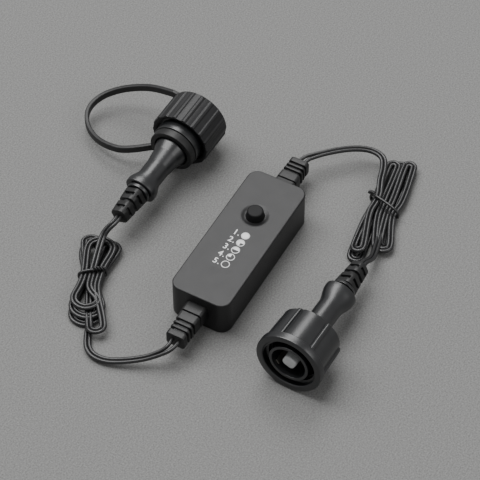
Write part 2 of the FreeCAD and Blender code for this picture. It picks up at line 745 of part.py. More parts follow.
def plug_contacts():
    """Two contact strips on the post."""
    start = NOSE_FLOOR - POST_BASE - POST_LENGTH + 0.8
    strips = []
    for sign in (-1, 1):
        strip = Part.makeBox(NOSE_FLOOR - start, LEAF_THICK, LEAF_WIDTH)
        y = POST_RADIUS - LEAF_THICK if sign > 0 else -POST_RADIUS
        strip.translate(Vector(start, y, -LEAF_WIDTH / 2))
        strips.append(strip)
    return group(strips)


def plug_seal():
    """Flat seal in the bottom of the nose, which the socket's tube presses on."""
    base = NOSE_FLOOR - POST_BASE
    return sleeve(base - PLUG_SEAL_THICK, base, POST_RADIUS + 0.3, NOSE_BORE - 0.1)


def shaft_wires(start, end):
    """Two insulated wires through a connector's shaft."""
    return group([rod(start, end, WIRE / 2, at) for at in strand_places(0.0)])


def polar(radius, angle):
    return Vector(radius * math.cos(angle), radius * math.sin(angle), 0)


def arc_edge(first, middle, last):
    return Part.Arc(first, middle, last).toShape()


def line_edge(first, last):
    return Part.LineSegment(first, last).toShape()


def cap_outline():
    """Cap section: broad ribs parted by narrow flat-bottomed grooves."""
    edges = []
    pitch = 2 * math.pi / CAP_RIBS
    half = CAP_GROOVE / 2 / CAP_RADIUS
    low = CAP_RADIUS - CAP_GROOVE_DEPTH
    for index in range(CAP_RIBS):
        groove = pitch * index
        edges.append(line_edge(polar(CAP_RADIUS, groove - half), polar(low, groove - half * 0.7)))
        edges.append(line_edge(polar(low, groove - half * 0.7), polar(low, groove + half * 0.7)))
        edges.append(line_edge(polar(low, groove + half * 0.7), polar(CAP_RADIUS, groove + half)))
        edges.append(arc_edge(polar(CAP_RADIUS, groove + half), polar(CAP_RADIUS, groove + pitch / 2),
                              polar(CAP_RADIUS, groove + pitch - half)))
    return Part.Wire(edges)


def protective_cap():
    """Screw cap with gripping ribs, an inside thread and a knob on its closed end."""
    grip = across(Part.Face(cap_outline()), 0).extrude(Vector(-CAP_LENGTH, 0, 0))
    knob_end = -CAP_LENGTH - EYELET_THICK - 2 * KNOB_GAP
    envelope = turned((
        (0, 0), (0, CAP_RADIUS - 0.4), (-0.4, CAP_RADIUS + 1), (-CAP_LENGTH + CAP_EDGE, CAP_RADIUS + 1),
        (-CAP_LENGTH + CAP_EDGE, CAP_RADIUS), (-CAP_LENGTH, CAP_RADIUS - CAP_EDGE), (-CAP_LENGTH, 0),
    ))
    bore = THREAD_ROOT + THREAD_HEIGHT + THREAD_CLEARANCE
    cavity = rod(-CAP_LENGTH + CAP_END_WALL, 1, bore)
    mouth = turned(((-0.8, bore), (0.01, bore + 0.8), (0.01, 0), (-0.8, 0)))
    knob = turned((
        (-CAP_LENGTH + 0.5, 0), (-CAP_LENGTH + 0.5, KNOB_NECK), (knob_end, KNOB_NECK),
        (knob_end, KNOB_HEAD), (knob_end - KNOB_HEAD_THICK, KNOB_HEAD - 0.6),
        (knob_end - KNOB_HEAD_THICK, 0),
    ))
    phase = -NOSE_THREAD_START - NOSE_TURNS * THREAD_PITCH + THREAD_PITCH * (NOSE_TURNS - CAP_TURNS)
    ridge = thread_inside(bore, CAP_TURNS, phase)
    shell = grip.common(envelope).cut(cavity.fuse(mouth))
    return fuse(shell, knob).fuse(ridge).Solids[0]


def thread_inside(bore, turns, start_on_nose):
    """Inward ridge that runs midway between the turns of the nose's thread."""
    ridge = thread(0, turns, bore, -THREAD_HEIGHT)
    skipped = (start_on_nose + NOSE_THREAD_START + NOSE_TURNS * THREAD_PITCH) / THREAD_PITCH
    ridge.rotate(Vector(0, 0, 0), Vector(1, 0, 0), 360 * (skipped % 1))
    ridge.translate(Vector(start_on_nose + THREAD_PITCH / 2, 0, 0))
    return ridge


def cap_gasket():
    """Sealing disc in the bottom of the cap."""
    bore = THREAD_ROOT + THREAD_HEIGHT + THREAD_CLEARANCE
    floor = -CAP_LENGTH + CAP_END_WALL
    return rod(floor, floor + CAP_GASKET_THICK, bore - 0.2)


def strap_section(width, height):
    return rounded_wire(width, height, min(width, height) * 0.3)


def eyelet_middle():
    return -CAP_LENGTH - KNOB_GAP - EYELET_THICK / 2


def strap_eyelet(towards):
    """Eyelet that turns on the cap's knob, with an arm out past the cap's rim to the strap."""
    start = -CAP_LENGTH - KNOB_GAP - EYELET_THICK
    disc = sleeve(start, start + EYELET_THICK, KNOB_NECK + EYELET_FIT, EYELET_RADIUS)
    arm = Part.makeBox(EYELET_THICK, ARM_REACH - EYELET_RADIUS, STRAP_HEIGHT)
    arm.translate(Vector(start, 1.0 - ARM_REACH, -STRAP_HEIGHT / 2))
    arm.rotate(Vector(0, 0, 0), Vector(1, 0, 0), -ARM_ANGLE)
    return fuse(on_plug(disc), on_plug(arm), stub(arm_end(), towards, 2.0))


def on_rim(x, reach, angle):
    """A place beside the plug's axis, in the part's own axes; the angle rises from the strap's side."""
    turn = math.radians(angle)
    local = Vector(x, -reach * math.cos(turn), reach * math.sin(turn))
    return on_plug(Part.Vertex(local)).Point


def arm_end():
    """Where the strap meets the eyelet's arm."""
    return on_rim(eyelet_middle(), ARM_REACH, ARM_ANGLE)


def tab_end():
    """Where the strap meets the ring's tab."""
    return on_rim(RING_START + RING_LENGTH * TAB_SHARE, TAB_REACH, TAB_ANGLE)


def stub(at, towards, length):
    """Short upright-sided bar with the strap's section, which ends where the strap begins."""
    heading = towards - at
    heading.z = 0
    heading.normalize()
    inner = at - heading * length
    return pipe(Part.Wire([line_edge(inner, at)]), strap_wire(inner, at), Vector(0, 0, 1)).Solids[0]


def strap_ring(towards):
    """Loose ring on the plug's hub, with the tab that the strap grows from."""
    ring = sleeve(RING_START, RING_START + RING_LENGTH, RING_INNER, RING_OUTER)
    return fuse(on_plug(ring), stub(tab_end(), towards, TAB_REACH - RING_OUTER + 0.8))


def routed(points):
    """Path through chosen points: straight runs joined by tangent arcs as large as the runs allow."""
    edges = []
    radii = []
    cursor = points[0]
    for before, corner, after in zip(points, points[1:], points[2:]):
        back = before - corner
        onward = after - corner
        shorter = min(back.Length, onward.Length)
        back.normalize()
        onward.normalize()
        turn = math.pi - back.getAngle(onward)
        cut = 0.45 * shorter
        start = corner + back * cut
        end = corner + onward * cut
        radius = cut / math.tan(turn / 2)
        radii.append(radius)
        inward = back + onward
        inward.normalize()
        middle = corner + inward * (radius / math.cos(turn / 2) - radius)
        edges.append(line_edge(cursor, start))
        edges.append(arc_edge(start, middle, end))
        cursor = end
    edges.append(line_edge(cursor, points[-1]))
    return Part.Wire(edges), radii


def circle_section(radius, at, along):
    return Part.Wire(Part.Circle(at, along, radius).toShape())


def twin_section(at, along):
    """Figure-eight section of the cord: two round strands that run into each other."""
    side = Vector(0, 0, 1).cross(along)
    side.normalize()
    up = along.cross(side)
    up.normalize()
    radius = STRAND / 2
    half = STRAND_PITCH / 2
    waist = math.sqrt(radius ** 2 - half ** 2)
    low = at - up * waist
    high = at + up * waist
    edges = [arc_edge(low, at + side * (half + radius), high)]
    edges.append(arc_edge(high, at - side * (half + radius), low))
    return Part.Wire(edges)


def pipe(path, section, binormal=None):
    """One solid along a path; by default its section turns as little as the path lets it."""
    shell = Part.BRepOffsetAPI.MakePipeShell(path)
    if binormal is not None:
        shell.setBiNormalMode(binormal)
    shell.setTransitionMode(0)
    shell.add(section)
    shell.build()
    shell.makeSolid()
    return shell.shape()


def free_cord(name, start, start_way, route, end, end_way):
    """Flat twin cord between two pieces, straight where it meets them; prints what its shape is held to."""
    points = [start, start + start_way * CORD_LEAD]
    points += [Vector(*p) for p in route]
    points += [end + end_way * CORD_LEAD, end]
    path, radii = routed(points)
    section = twin_section(start, start_way)
    solid = pipe(path, section)
    expected = Part.Face(section).Area * path.Length
    print(name, "radii", [round(r, 1) for r in radii], "length", round(path.Length, 1),
          "volume share", round(solid.Volume / expected, 3))
    return solid.Solids[0], path.Length


def s_bend(first, last, along):
    """Two equal arcs from one point to another, parallel to the same direction at both ends."""
    offset = last - first
    forward = offset.dot(along)
    side = offset - along * forward
    if side.Length < 0.01:
        return [line_edge(first, last)]
    lean = side.Length
    side.normalize()
    angle = 2 * math.atan2(lean, abs(forward))
    radius = abs(forward) / 2 / math.sin(angle)
    heading = along * math.copysign(1.0, forward)
    middle = (first + last) * 0.5
    half = angle / 2
    step = heading * (radius * math.sin(half)) + side * (radius * (1 - math.cos(half)))
    return [arc_edge(first, first + step, middle), arc_edge(middle, last - step, last)]


def hank_path(reach, step, over, stop):
    """Centre line of a hank about its own middle, from its lower end to the run that crosses its top.

    Runs spiral in on the first layer, the innermost climbs, and they spiral out on the second. The
    last run climbs to a third layer beside the bundle and then crosses over it.
    """
    shares = RUN_SHARES + RUN_SHARES[-2::-1]
    turn_x = reach - (RUN_SHARES[0] + RUN_SHARES[1]) / 2 * step
    climb_at = len(RUN_SHARES) - 1
    last = len(shares) - 1
    levels = [HANK_FLOOR, HANK_FLOOR + HANK_LAYER, HANK_FLOOR + 2 * HANK_LAYER]
    along = Vector(1, 0, 0)
    start = Vector(-turn_x - LEAD_OUT, -shares[0] * step, levels[0])
    edges = []
    cursor = start
    for index, share in enumerate(shares):
        side = -1 if index % 2 == 0 else 1
        heading = 1 if index % 2 == 0 else -1
        begin_level = levels[0] if index <= climb_at else levels[1]
        end_level = levels[0] if index < climb_at else levels[1]
        if index == last:
            end_level = levels[2]
        first = Vector(-heading * turn_x, side * share * step, begin_level)
        if index == 0:
            edges.append(line_edge(cursor, first))
        else:
            centre = (cursor + first) * 0.5
            bulge = centre + Vector(-heading * (cursor - first).Length / 2, 0, 0)
            edges.append(arc_edge(cursor, bulge, first))
        middle_level = (begin_level + end_level) / 2 if index != last else end_level
        waist = Vector(0, side * share * WAIST_STEP, middle_level)
        end_side = side * share if index != last else over
        end = Vector(stop if index == last else heading * turn_x, end_side * step, end_level)
        edges += s_bend(first, waist, along)
        edges += s_bend(waist, end, along)
        cursor = end
    finish = cursor + Vector(LEAD_OUT, 0, 0)
    edges.append(line_edge(cursor, finish))
    return Part.Wire(edges), start, finish


def self_gap(path, tube):
    """Least clear distance between parts of a path that lie more than a few turns' width apart."""
    spacing = 0.8
    points = path.discretize(Distance=spacing)
    skip = int(math.pi * tube * 1.1 / spacing) + 1
    least = 1e9
    for index, point in enumerate(points):
        for other in points[index + skip:]:
            least = min(least, point.distanceToPoint(other))
    return least - tube


def tie_section(step_low, step_high, growth):
    """Outline that hugs the waist of a hank, grown outwards."""
    low = HANK_FLOOR
    mid = HANK_FLOOR + HANK_LAYER
    high = HANK_FLOOR + 2 * HANK_LAYER
    corners = [Vector(step_low, low, 0), Vector(step_high, low, 0), Vector(step_high, mid, 0),
               Vector(step_low, high, 0)]
    return Part.Face(Part.makePolygon(corners + corners[:1])).makeOffset2D(growth)


def hank_tie():
    """Twist tie round the waist with its twisted ends lying on top."""
    low = -RUN_SHARES[0] * WAIST_STEP
    high = RUN_SHARES[1] * WAIST_STEP
    inner = HANK_TUBE / 2 + TIE_FIT
    ring = tie_section(low, high, inner + TIE_THICK).cut(tie_section(low, high, inner))
    band = across(ring, -TIE_WIDTH / 2).extrude(Vector(TIE_WIDTH, 0, 0))
    top = HANK_FLOOR + 1.5 * HANK_LAYER + inner + TIE_THICK + KNOT_RADIUS
    knot = Part.makeCylinder(KNOT_RADIUS, KNOT_LENGTH, Vector(-KNOT_LENGTH / 2, 0, top), Vector(1, 0, 0))
    return fuse(band, knot)


def hank(name, at, turn, reach, step, over, stop):
    """A hank and its tie where they lie, with the ends of its centre line and the way it runs."""
    path, start, finish = hank_path(reach, step, over, stop)
    tube = pipe(path, circle_section(HANK_TUBE / 2, start, Vector(1, 0, 0)))
    expected = math.pi * HANK_TUBE ** 2 / 4 * path.Length
    print(name, "length", round(path.Length, 1), "volume share", round(tube.Volume / expected, 3),
          "least gap to itself", round(self_gap(path, HANK_TUBE), 2))
    placing = Placement(at, Rotation(turn, 0, 0))
    for node, shape in ((name + "_hank", tube), (name + "_tie", hank_tie())):
        moved = shape.copy()
        moved.Placement = placing.multiply(moved.Placement)
        save(node, moved)
    along = placing.Rotation.multVec(Vector(1, 0, 0))
    return placing.multVec(start), placing.multVec(finish), along, path.Length


def nut_outline(shrink):
    """Nut section: broad rounded lobes parted by narrow raised ridges."""
    edges = []
    pitch = 2 * math.pi / NUT_RIDGES
    crest = NUT_RIDGE_RADIUS - shrink
    lobe = NUT_LOBE_RADIUS - shrink
    valley = NUT_VALLEY_RADIUS - shrink
    half = NUT_RIDGE_WIDTH / 2 / NUT_RIDGE_RADIUS
    foot = half * 2.2
    for index in range(NUT_RIDGES):
        ridge = math.radians(NUT_FIRST_RIDGE) + pitch * index
        edges.append(line_edge(polar(valley, ridge - foot), polar(crest, ridge - half)))
        edges.append(line_edge(polar(crest, ridge - half), polar(crest, ridge + half)))
        edges.append(line_edge(polar(crest, ridge + half), polar(valley, ridge + foot)))
        edges.append(arc_edge(polar(valley, ridge + foot), polar(lobe, ridge + pitch / 2),
                              polar(valley, ridge + pitch - foot)))
    return Part.Wire(edges)


def coupling_nut():
    """Union nut: plain front ring, lobed grip, inside thread and a back wall that turns on the neck."""
    grip = Part.makeLoft([across(nut_outline(0), NUT_RING - 0.5), across(nut_outline(NUT_TAPER), NUT_LENGTH)],
                         True, True)
    back = NUT_RADIUS + 1
    crest = NUT_RIDGE_RADIUS - NUT_TAPER
    envelope = turned((
        (NUT_RING - 0.6, 0), (NUT_RING - 0.6, back), (NUT_LENGTH - NUT_EDGE, back),
        (NUT_LENGTH - NUT_EDGE, crest), (NUT_LENGTH, crest - NUT_EDGE), (NUT_LENGTH, 0),
    ))
    edge = 0.4
    ring = turned((
        (0, 0), (0, NUT_RADIUS - edge), (edge, NUT_RADIUS), (NUT_RING - edge, NUT_RADIUS),
        (NUT_RING, NUT_RADIUS - edge), (NUT_RING, 0),
    ))
    bore = THREAD_ROOT + THREAD_HEIGHT + THREAD_CLEARANCE
    chamber = NUT_LENGTH - NUT_BACK_WALL
    cavity = turned((
        (-1, 0), (-1, NUT_MOUTH + 1), (0, NUT_MOUTH), (bore_step(), bore), (chamber, bore), (chamber, 0),
    ))
    hole = rod(chamber - 1, NUT_LENGTH + 1, NECK_RADIUS + NUT_FIT)
    ridge = thread(NUT_THREAD_START, NUT_TURNS, bore, -THREAD_HEIGHT)
    shell = fuse(ring, grip.common(envelope)).cut(cavity.fuse(hole))
    return shell.fuse(ridge).Solids[0]


def bore_step():
    """Depth of the nut's lead-in bevel."""
    return NUT_MOUTH - (THREAD_ROOT + THREAD_HEIGHT + THREAD_CLEARANCE)


def socket_body():
    """Contact tube, flange behind the nut, neck with its snap bead, shaft and winged tail."""
    flange_end = NUT_LENGTH - NUT_BACK_WALL - NUT_FIT
    neck_end = NUT_LENGTH + 0.3
    profile = (
        (TUBE_SETBACK, TUBE_INNER), (TUBE_SETBACK, TUBE_OUTER - 0.3), (TUBE_SETBACK + 0.3, TUBE_OUTER),
        (flange_end - FLANGE_LENGTH, TUBE_OUTER), (flange_end - FLANGE_LENGTH, FLANGE_RADIUS),
        (flange_end, FLANGE_RADIUS), (flange_end, NECK_RADIUS), (neck_end, NECK_RADIUS),
        (neck_end, BEAD_RADIUS), (neck_end + BEAD_LENGTH, NECK_RADIUS),
        (neck_end + BEAD_LENGTH, SHAFT_RADIUS),
        (SOCKET_FLARE + 0.5, SHAFT_RADIUS), (SOCKET_FLARE + 0.5, 0), (TUBE_LENGTH, 0),
        (TUBE_LENGTH, TUBE_INNER),
    )
    wings, step = tail(SOCKET_FLARE, SOCKET_TAIL, SOCKET_WING_ROLL)
    body = fuse(turned(profile), wings, step)
    bore = rod(TUBE_LENGTH - 1, SOCKET_TAIL + TAIL_STEP + 1, SHAFT_BORE)
    return body.cut(bore).Solids[0]


def socket_insert():
    """Insulating block in the bottom of the tube, with a seat for the stub and slots for the contacts."""
    block = rod(INSERT_DEPTH, TUBE_LENGTH, TUBE_INNER - INSERT_FIT)
    cuts = [rod(INSERT_DEPTH - 1, INSERT_DEPTH + 2, STUB_RADIUS)]
    cuts += contact_slots(INSERT_DEPTH - 1, TUBE_LENGTH + 1, TUBE_INNER - INSERT_FIT)
    return block.cut(group(cuts)).Solids[0]


def center_stub():
    """Pale guide stub that stands in the middle of the tube."""
    stub = rod(STUB_START, INSERT_DEPTH + 2, STUB_RADIUS)
    tip = [e for e in stub.Edges if e.BoundBox.XMax < STUB_START + 0.01]
    return stub.makeFillet(STUB_EDGE, tip)


def socket_contacts():
    """Two flat contact springs along the inside of the tube."""
    leaves = []
    outer = TUBE_INNER - INSERT_FIT - 0.05
    for sign in (-1, 1):
        leaf = Part.makeBox(TUBE_LENGTH - LEAF_START, LEAF_THICK, LEAF_WIDTH)
        y = outer - LEAF_THICK if sign > 0 else -outer
        leaf.translate(Vector(LEAF_START, y, -LEAF_WIDTH / 2))
        leaves.append(leaf.common(rod(0, TUBE_LENGTH, TUBE_INNER - 0.05)))
    return group(leaves)


def socket_seal():
    """Sealing ring on the tube, against the flange."""
    flange_end = NUT_LENGTH - NUT_BACK_WALL - NUT_FIT
    face = flange_end - FLANGE_LENGTH
    return sleeve(face - SOCKET_SEAL_THICK, face, TUBE_OUTER, TUBE_OUTER + SOCKET_SEAL_WIDTH)


def cap_strap(route):
    """Flat strap from the eyelet's arm round to the ring's tab."""
    points = [arm_end()] + route + [tab_end()]
    path, radii = routed(points)
    print("cap_strap radii", [round(r, 1) for r in radii], "length", round(path.Length, 1))
    return pipe(path, strap_wire(points[0], points[1]), Vector(0, 0, 1)).Solids[0]


def strap_wire(at, towards):
    """Strap section standing across its route."""
    wire = strap_section(STRAP_WIDTH, STRAP_HEIGHT)
    along = towards - at
    heading = math.degrees(math.atan2(along.y, along.x))
    upright = across(wire, 0)
    upright.Placement = Placement(at, Rotation(heading, 0, 0)).multiply(upright.Placement)
    return upright


def build():
    os.makedirs("parts", exist_ok=True)
    save("upper_shell", upper_shell())
    save("base_plate", base_plate())
    save("base_gasket", base_gasket())
    save("case_screws", case_screws())
    save("circuit_board", circuit_board())
    save("tactile_switch", tactile_switch())
    save("switch_plunger", switch_plunger())
    save("button_key", button_key())
    save("button_seal", button_seal())
    save("controller_chip", leaded_chip())
    save("power_transistor", power_transistor())
    save("smoothing_capacitor", smoothing_capacitor())
    save("reverse_diode", small_block(DIODE_LENGTH, DIODE_WIDTH, DIODE_HEIGHT, DIODE_AT))
    save("voltage_regulator", small_block(REGULATOR_LENGTH, REGULATOR_WIDTH, REGULATOR_HEIGHT, REGULATOR_AT))
    save("chip_resistors", chip_resistors())
    save("output_strain_relief", strain_relief())
    save("input_strain_relief", mirrored(strain_relief()))
    save("output_wires", board_wires())
    save("input_wires", mirrored(board_wires()))

    route = [Vector(*p) for p in STRAP_POINTS]
    save("plug_body", on_plug(plug_body()))
    save("plug_insert", on_plug(plug_insert()))
    save("plug_contacts", on_plug(plug_contacts()))
    save("plug_seal", on_plug(plug_seal()))
    save("plug_wires", on_plug(shaft_wires(NOSE_FLOOR, PLUG_TAIL + TAIL_STEP + WIRE_END)))
    save("plug_strain_relief", on_plug(connector_relief(PLUG_TAIL + TAIL_STEP, PLUG_RELIEF_ROLL)))
    save("protective_cap", on_plug(protective_cap()))
    save("cap_gasket", on_plug(cap_gasket()))
    save("strap_eyelet", strap_eyelet(route[0]))
    save("strap_ring", strap_ring(route[-1]))
    save("cap_strap", cap_strap(route))

    save("socket_body", on_socket(socket_body()))
    save("coupling_nut", on_socket(coupling_nut()))
    save("socket_insert", on_socket(socket_insert()))
    save("center_stub", on_socket(center_stub()))
    save("socket_contacts", on_socket(socket_contacts()))
    save("socket_seal", on_socket(socket_seal()))
    save("socket_wires", on_socket(shaft_wires(TUBE_LENGTH, SOCKET_TAIL + TAIL_STEP + WIRE_END)))
    socket_relief = connector_relief(SOCKET_TAIL + TAIL_STEP, SOCKET_RELIEF_ROLL)
    save("socket_strain_relief", on_socket(socket_relief))

    input_hank = (INPUT_HANK_AT, INPUT_HANK_TURN, INPUT_HANK_REACH, INPUT_HANK_STEP, INPUT_HANK_OVER,
                  INPUT_HANK_STOP)
    output_hank = (OUTPUT_HANK_AT, OUTPUT_HANK_TURN, OUTPUT_HANK_REACH, OUTPUT_HANK_STEP, OUTPUT_HANK_OVER,
                   OUTPUT_HANK_STOP)
    run_cord("input", -1, input_hank, INPUT_POINTS_A, INPUT_POINTS_B, on_plug, PLUG_TAIL)
    run_cord("output", 1, output_hank, OUTPUT_POINTS_A, OUTPUT_POINTS_B, on_socket, SOCKET_TAIL)


def run_cord(name, side, hank_shape, route_a, route_b, on_connector, tail_end):
    """One cord from the box through its hank to its connector; prints its whole length."""
    start, finish, along, hank_length = hank(name, *hank_shape)
    back = Vector(0, 0, 0) - along
    box_face = Vector(side * (BOX_LENGTH / 2 + sum(GLAND_STEPS)), 0, GLAND_Z)
    box_way = Vector(side, 0, 0)
    relief_end = tail_end + TAIL_STEP + RELIEF_LENGTH
    exit_at = on_connector(Part.Vertex(Vector(relief_end, 0, 0))).Point
    exit_way = on_connector(Part.Vertex(Vector(relief_end + 1, 0, 0))).Point - exit_at
    # The input cord enters its hank at the lower end; the output cord enters on top
    near, far = ((start, back), (finish, along)) if side < 0 else ((finish, along), (start, back))
    cord_a, length_a = free_cord(name + "_cord_a", box_face, box_way, route_a, *near)
    cord_b, length_b = free_cord(name + "_cord_b", exit_at, exit_way, route_b, *far)
    save(name + "_cord_a", cord_a)
    save(name + "_cord_b", cord_b)
    print(name, "cord length", round(length_a + hank_length + length_b, 1))
    for end in (near[0], far[0], exit_at):
        print("  end", [round(value, 2) for value in end])


build()
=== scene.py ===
import math
from collections import namedtuple

import bmesh
import bpy
import numpy as np
from bpy.props import FloatProperty, FloatVectorProperty, IntProperty, PointerProperty, StringProperty
from mathutils import Matrix, Vector


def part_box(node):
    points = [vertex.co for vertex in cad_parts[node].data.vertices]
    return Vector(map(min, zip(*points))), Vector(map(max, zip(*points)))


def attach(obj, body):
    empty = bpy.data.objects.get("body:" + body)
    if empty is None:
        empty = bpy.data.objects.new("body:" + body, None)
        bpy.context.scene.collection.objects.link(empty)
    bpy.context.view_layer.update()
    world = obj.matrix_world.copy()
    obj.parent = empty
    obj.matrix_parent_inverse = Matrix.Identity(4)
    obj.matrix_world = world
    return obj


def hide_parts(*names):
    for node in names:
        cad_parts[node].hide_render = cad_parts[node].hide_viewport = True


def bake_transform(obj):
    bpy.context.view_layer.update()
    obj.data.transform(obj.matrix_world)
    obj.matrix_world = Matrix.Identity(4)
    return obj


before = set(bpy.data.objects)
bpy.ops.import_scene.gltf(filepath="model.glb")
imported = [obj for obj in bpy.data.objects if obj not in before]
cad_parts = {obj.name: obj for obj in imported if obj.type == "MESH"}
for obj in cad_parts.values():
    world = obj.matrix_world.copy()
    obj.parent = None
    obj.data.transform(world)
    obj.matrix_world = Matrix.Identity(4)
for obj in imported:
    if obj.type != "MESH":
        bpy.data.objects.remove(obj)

bl_info = {
    "name": "In-line dimmer",
    "version": (1, 0, 0),
    "blender": (4, 5, 0),
    "location": "View3D > Sidebar > Dimmer",
    "description": "Dresses the packed model of an in-line light dimmer",
    "category": "Object",
}

MM = 0.001
POLE = 0.001 * MM  # radius that stands for the axis, so that a pole's ring keeps its points


def size(name, description, millimetres):
    """Length property whose default is given in millimetres."""
    return FloatProperty(name=name, description=description, default=millimetres * MM, unit="LENGTH",
                         precision=5)


def angle(name, description, degrees):
    """Angle property whose default is given in degrees."""
    return FloatProperty(name=name, description=description, default=math.radians(degrees), unit="ROTATION")


def spot(name, description, *metres):
    """Point property whose default is given in metres."""
    return FloatVectorProperty(name=name, description=description, size=3, default=metres,
                               subtype="TRANSLATION")


def mottle(name, description, codes):
    """Colour property: the hex colours of a finish's darkest and lightest mottle."""
    return StringProperty(name=name, description=description, default=codes)


class FinishColours(bpy.types.PropertyGroup):
    """Darkest and lightest mottle of each visible finish, as two sRGB hex values"""

    housing: mottle("Housing", "Textured ABS of the box", "#141415 #19191a")
    moulding: mottle("Mouldings", "Satin polypropylene of the connectors", "#131416 #18191b")
    cap: mottle("Cap", "Matt polypropylene of the cap", "#131314 #1a1a1c")
    relief: mottle("Reliefs and strap", "Soft PVC of the strain reliefs and the strap", "#151515 #1b1b1c")
    cord: mottle("Cord", "PVC sheath of the cords and ties", "#19191a #1f1f20")
    key: mottle("Button", "Silicone of the button", "#0f0f10 #141415")
    stub: mottle("Stub", "Nylon of the pale stub", "#b4b6b6 #c6c8c8")
    marks: mottle("Marks", "Ink of the level marks", "#e4e4e4 #efefef")


class CaseSizes(bpy.types.PropertyGroup):
    """Sizes of the box, its button and the strain reliefs at its ends"""

    length: size("Length", "Box length along X", 75.0)
    height: size("Height", "Box height", 18.4)
    button_x: size("Button place", "Button's distance from the middle along X", 13.8)
    key_base: size("Key base", "Button diameter at the recess", 8.2)
    key_top: size("Key top", "Button diameter at its top", 6.9)
    key_rise: size("Key rise", "Button height above the face", 3.3)
    stem: size("Stem", "Radius of the stem under the key", 1.7)
    flange_depth: size("Flange depth", "Key's flange below the recess's floor", 2.3)
    flange: size("Flange", "Thickness of the key's flange", 1.0)
    recess_depth: size("Recess depth", "Depth of the recess in the packed box", 0.8)
    recess: size("Recess", "Diameter of the dish round the button", 13.2)
    dish_depth: size("Dish depth", "Depth of the dish's smooth surface", 0.52)
    gland_z: size("Relief height", "Height of the cord's axis at the box", 9.6)
    gland_root_width: size("Relief root width", "Strain relief width at the wall", 10.0)
    gland_root_height: size("Relief root height", "Strain relief height at the wall", 8.2)
    gland_end_width: size("Relief end width", "Strain relief width at its end", 8.8)
    gland_end_height: size("Relief end height", "Strain relief height at its end", 7.4)
    gland_corner: size("Relief corner", "Corner radius of the strain relief", 1.5)


class PrintSizes(bpy.types.PropertyGroup):
    """Level marks printed on the box"""

    first_x: size("First mark", "First mark's place along X", 1.55)
    pitch: size("Pitch", "Distance between marks", 4.45)
    mark_y: size("Mark place", "Discs' place across the box", -1.9)
    digit_y: size("Digit place", "Where the digits' dots end across the box", 0.85)
    disc: size("Disc", "Disc diameter", 3.8)
    ring: size("Ring", "Line width of the empty disc", 0.32)
    digit: size("Digit height", "Height of the digits", 3.0)
    ink: size("Ink", "Thickness of the print", 0.02)


class CordSizes(bpy.types.PropertyGroup):
    """Sizes of the twin cord, its hanks and their ties"""

    strand: size("Strand", "Diameter of one strand", 1.7)
    pitch: size("Strand pitch", "Distance between the two strands", 1.64)
    split: size("Split", "Extra distance between the strands where they leave the box", 1.5)
    split_length: size("Split length", "How far from the box the strands run apart", 13.0)
    waist_step: size("Waist step", "Distance between cords beside each other under the tie", 3.3)
    layer: size("Layer", "Distance between cords above each other under the tie", 1.95)
    floor: size("Floor", "Height of the lowest cord's axis", 1.1)
    sample: size("Sample", "Distance between the tube's rings", 0.7)
    tie: size("Tie", "Width of the twist tie", 1.3)


class ConnectorSizes(bpy.types.PropertyGroup):
    """Sizes that the plug and the socket share"""

    shaft: size("Shaft", "Shaft radius", 5.5)
    tail_width: size("Tail width", "Half width of the winged tail", 7.4)
    tail_height: size("Tail height", "Half height of the winged tail", 5.9)
    tail_step: size("Tail step", "Length of the stepped disc behind the tail", 2.2)
    tail_disc: size("Tail disc", "Radius of the stepped disc", 5.6)
    tail_neck: size("Tail neck", "Radius of the groove in front of the stepped disc", 4.6)
    tail_groove: size("Tail groove", "Width of the groove in front of the stepped disc", 0.8)
    tail_rim: size("Tail rim", "Length of the winged tail's full width", 1.9)
    tail_edge: size("Tail edge", "Rounding of the winged tail's edge", 0.6)
    relief_length: size("Relief length", "Length of the strain relief", 14.6)
    relief_root: size("Relief root", "Width of the strain relief at the tail", 9.2)
    relief_end: size("Relief end", "Width of the strain relief at the cord", 7.4)
    relief_corner: size("Relief corner", "Corner radius of the strain relief", 2.6)
    relief_gap: size("Relief gap", "Gap between the tail and the strain relief's first block", 0.5)
    groove: size("Groove", "Width of the strain relief's ring groove", 1.5)
    slot: size("Slot", "Half width of the slots in the strain relief", 0.75)
    slot_depth: size("Slot depth", "Depth of the slots in the strain relief", 1.5)
    bore: size("Thread bore", "Radius at the root of the inside threads", 12.2)
    thread_pitch: size("Thread pitch", "Pitch of the coupling thread", 3.0)
    thread_height: size("Thread height", "Height of the coupling thread", 1.0)


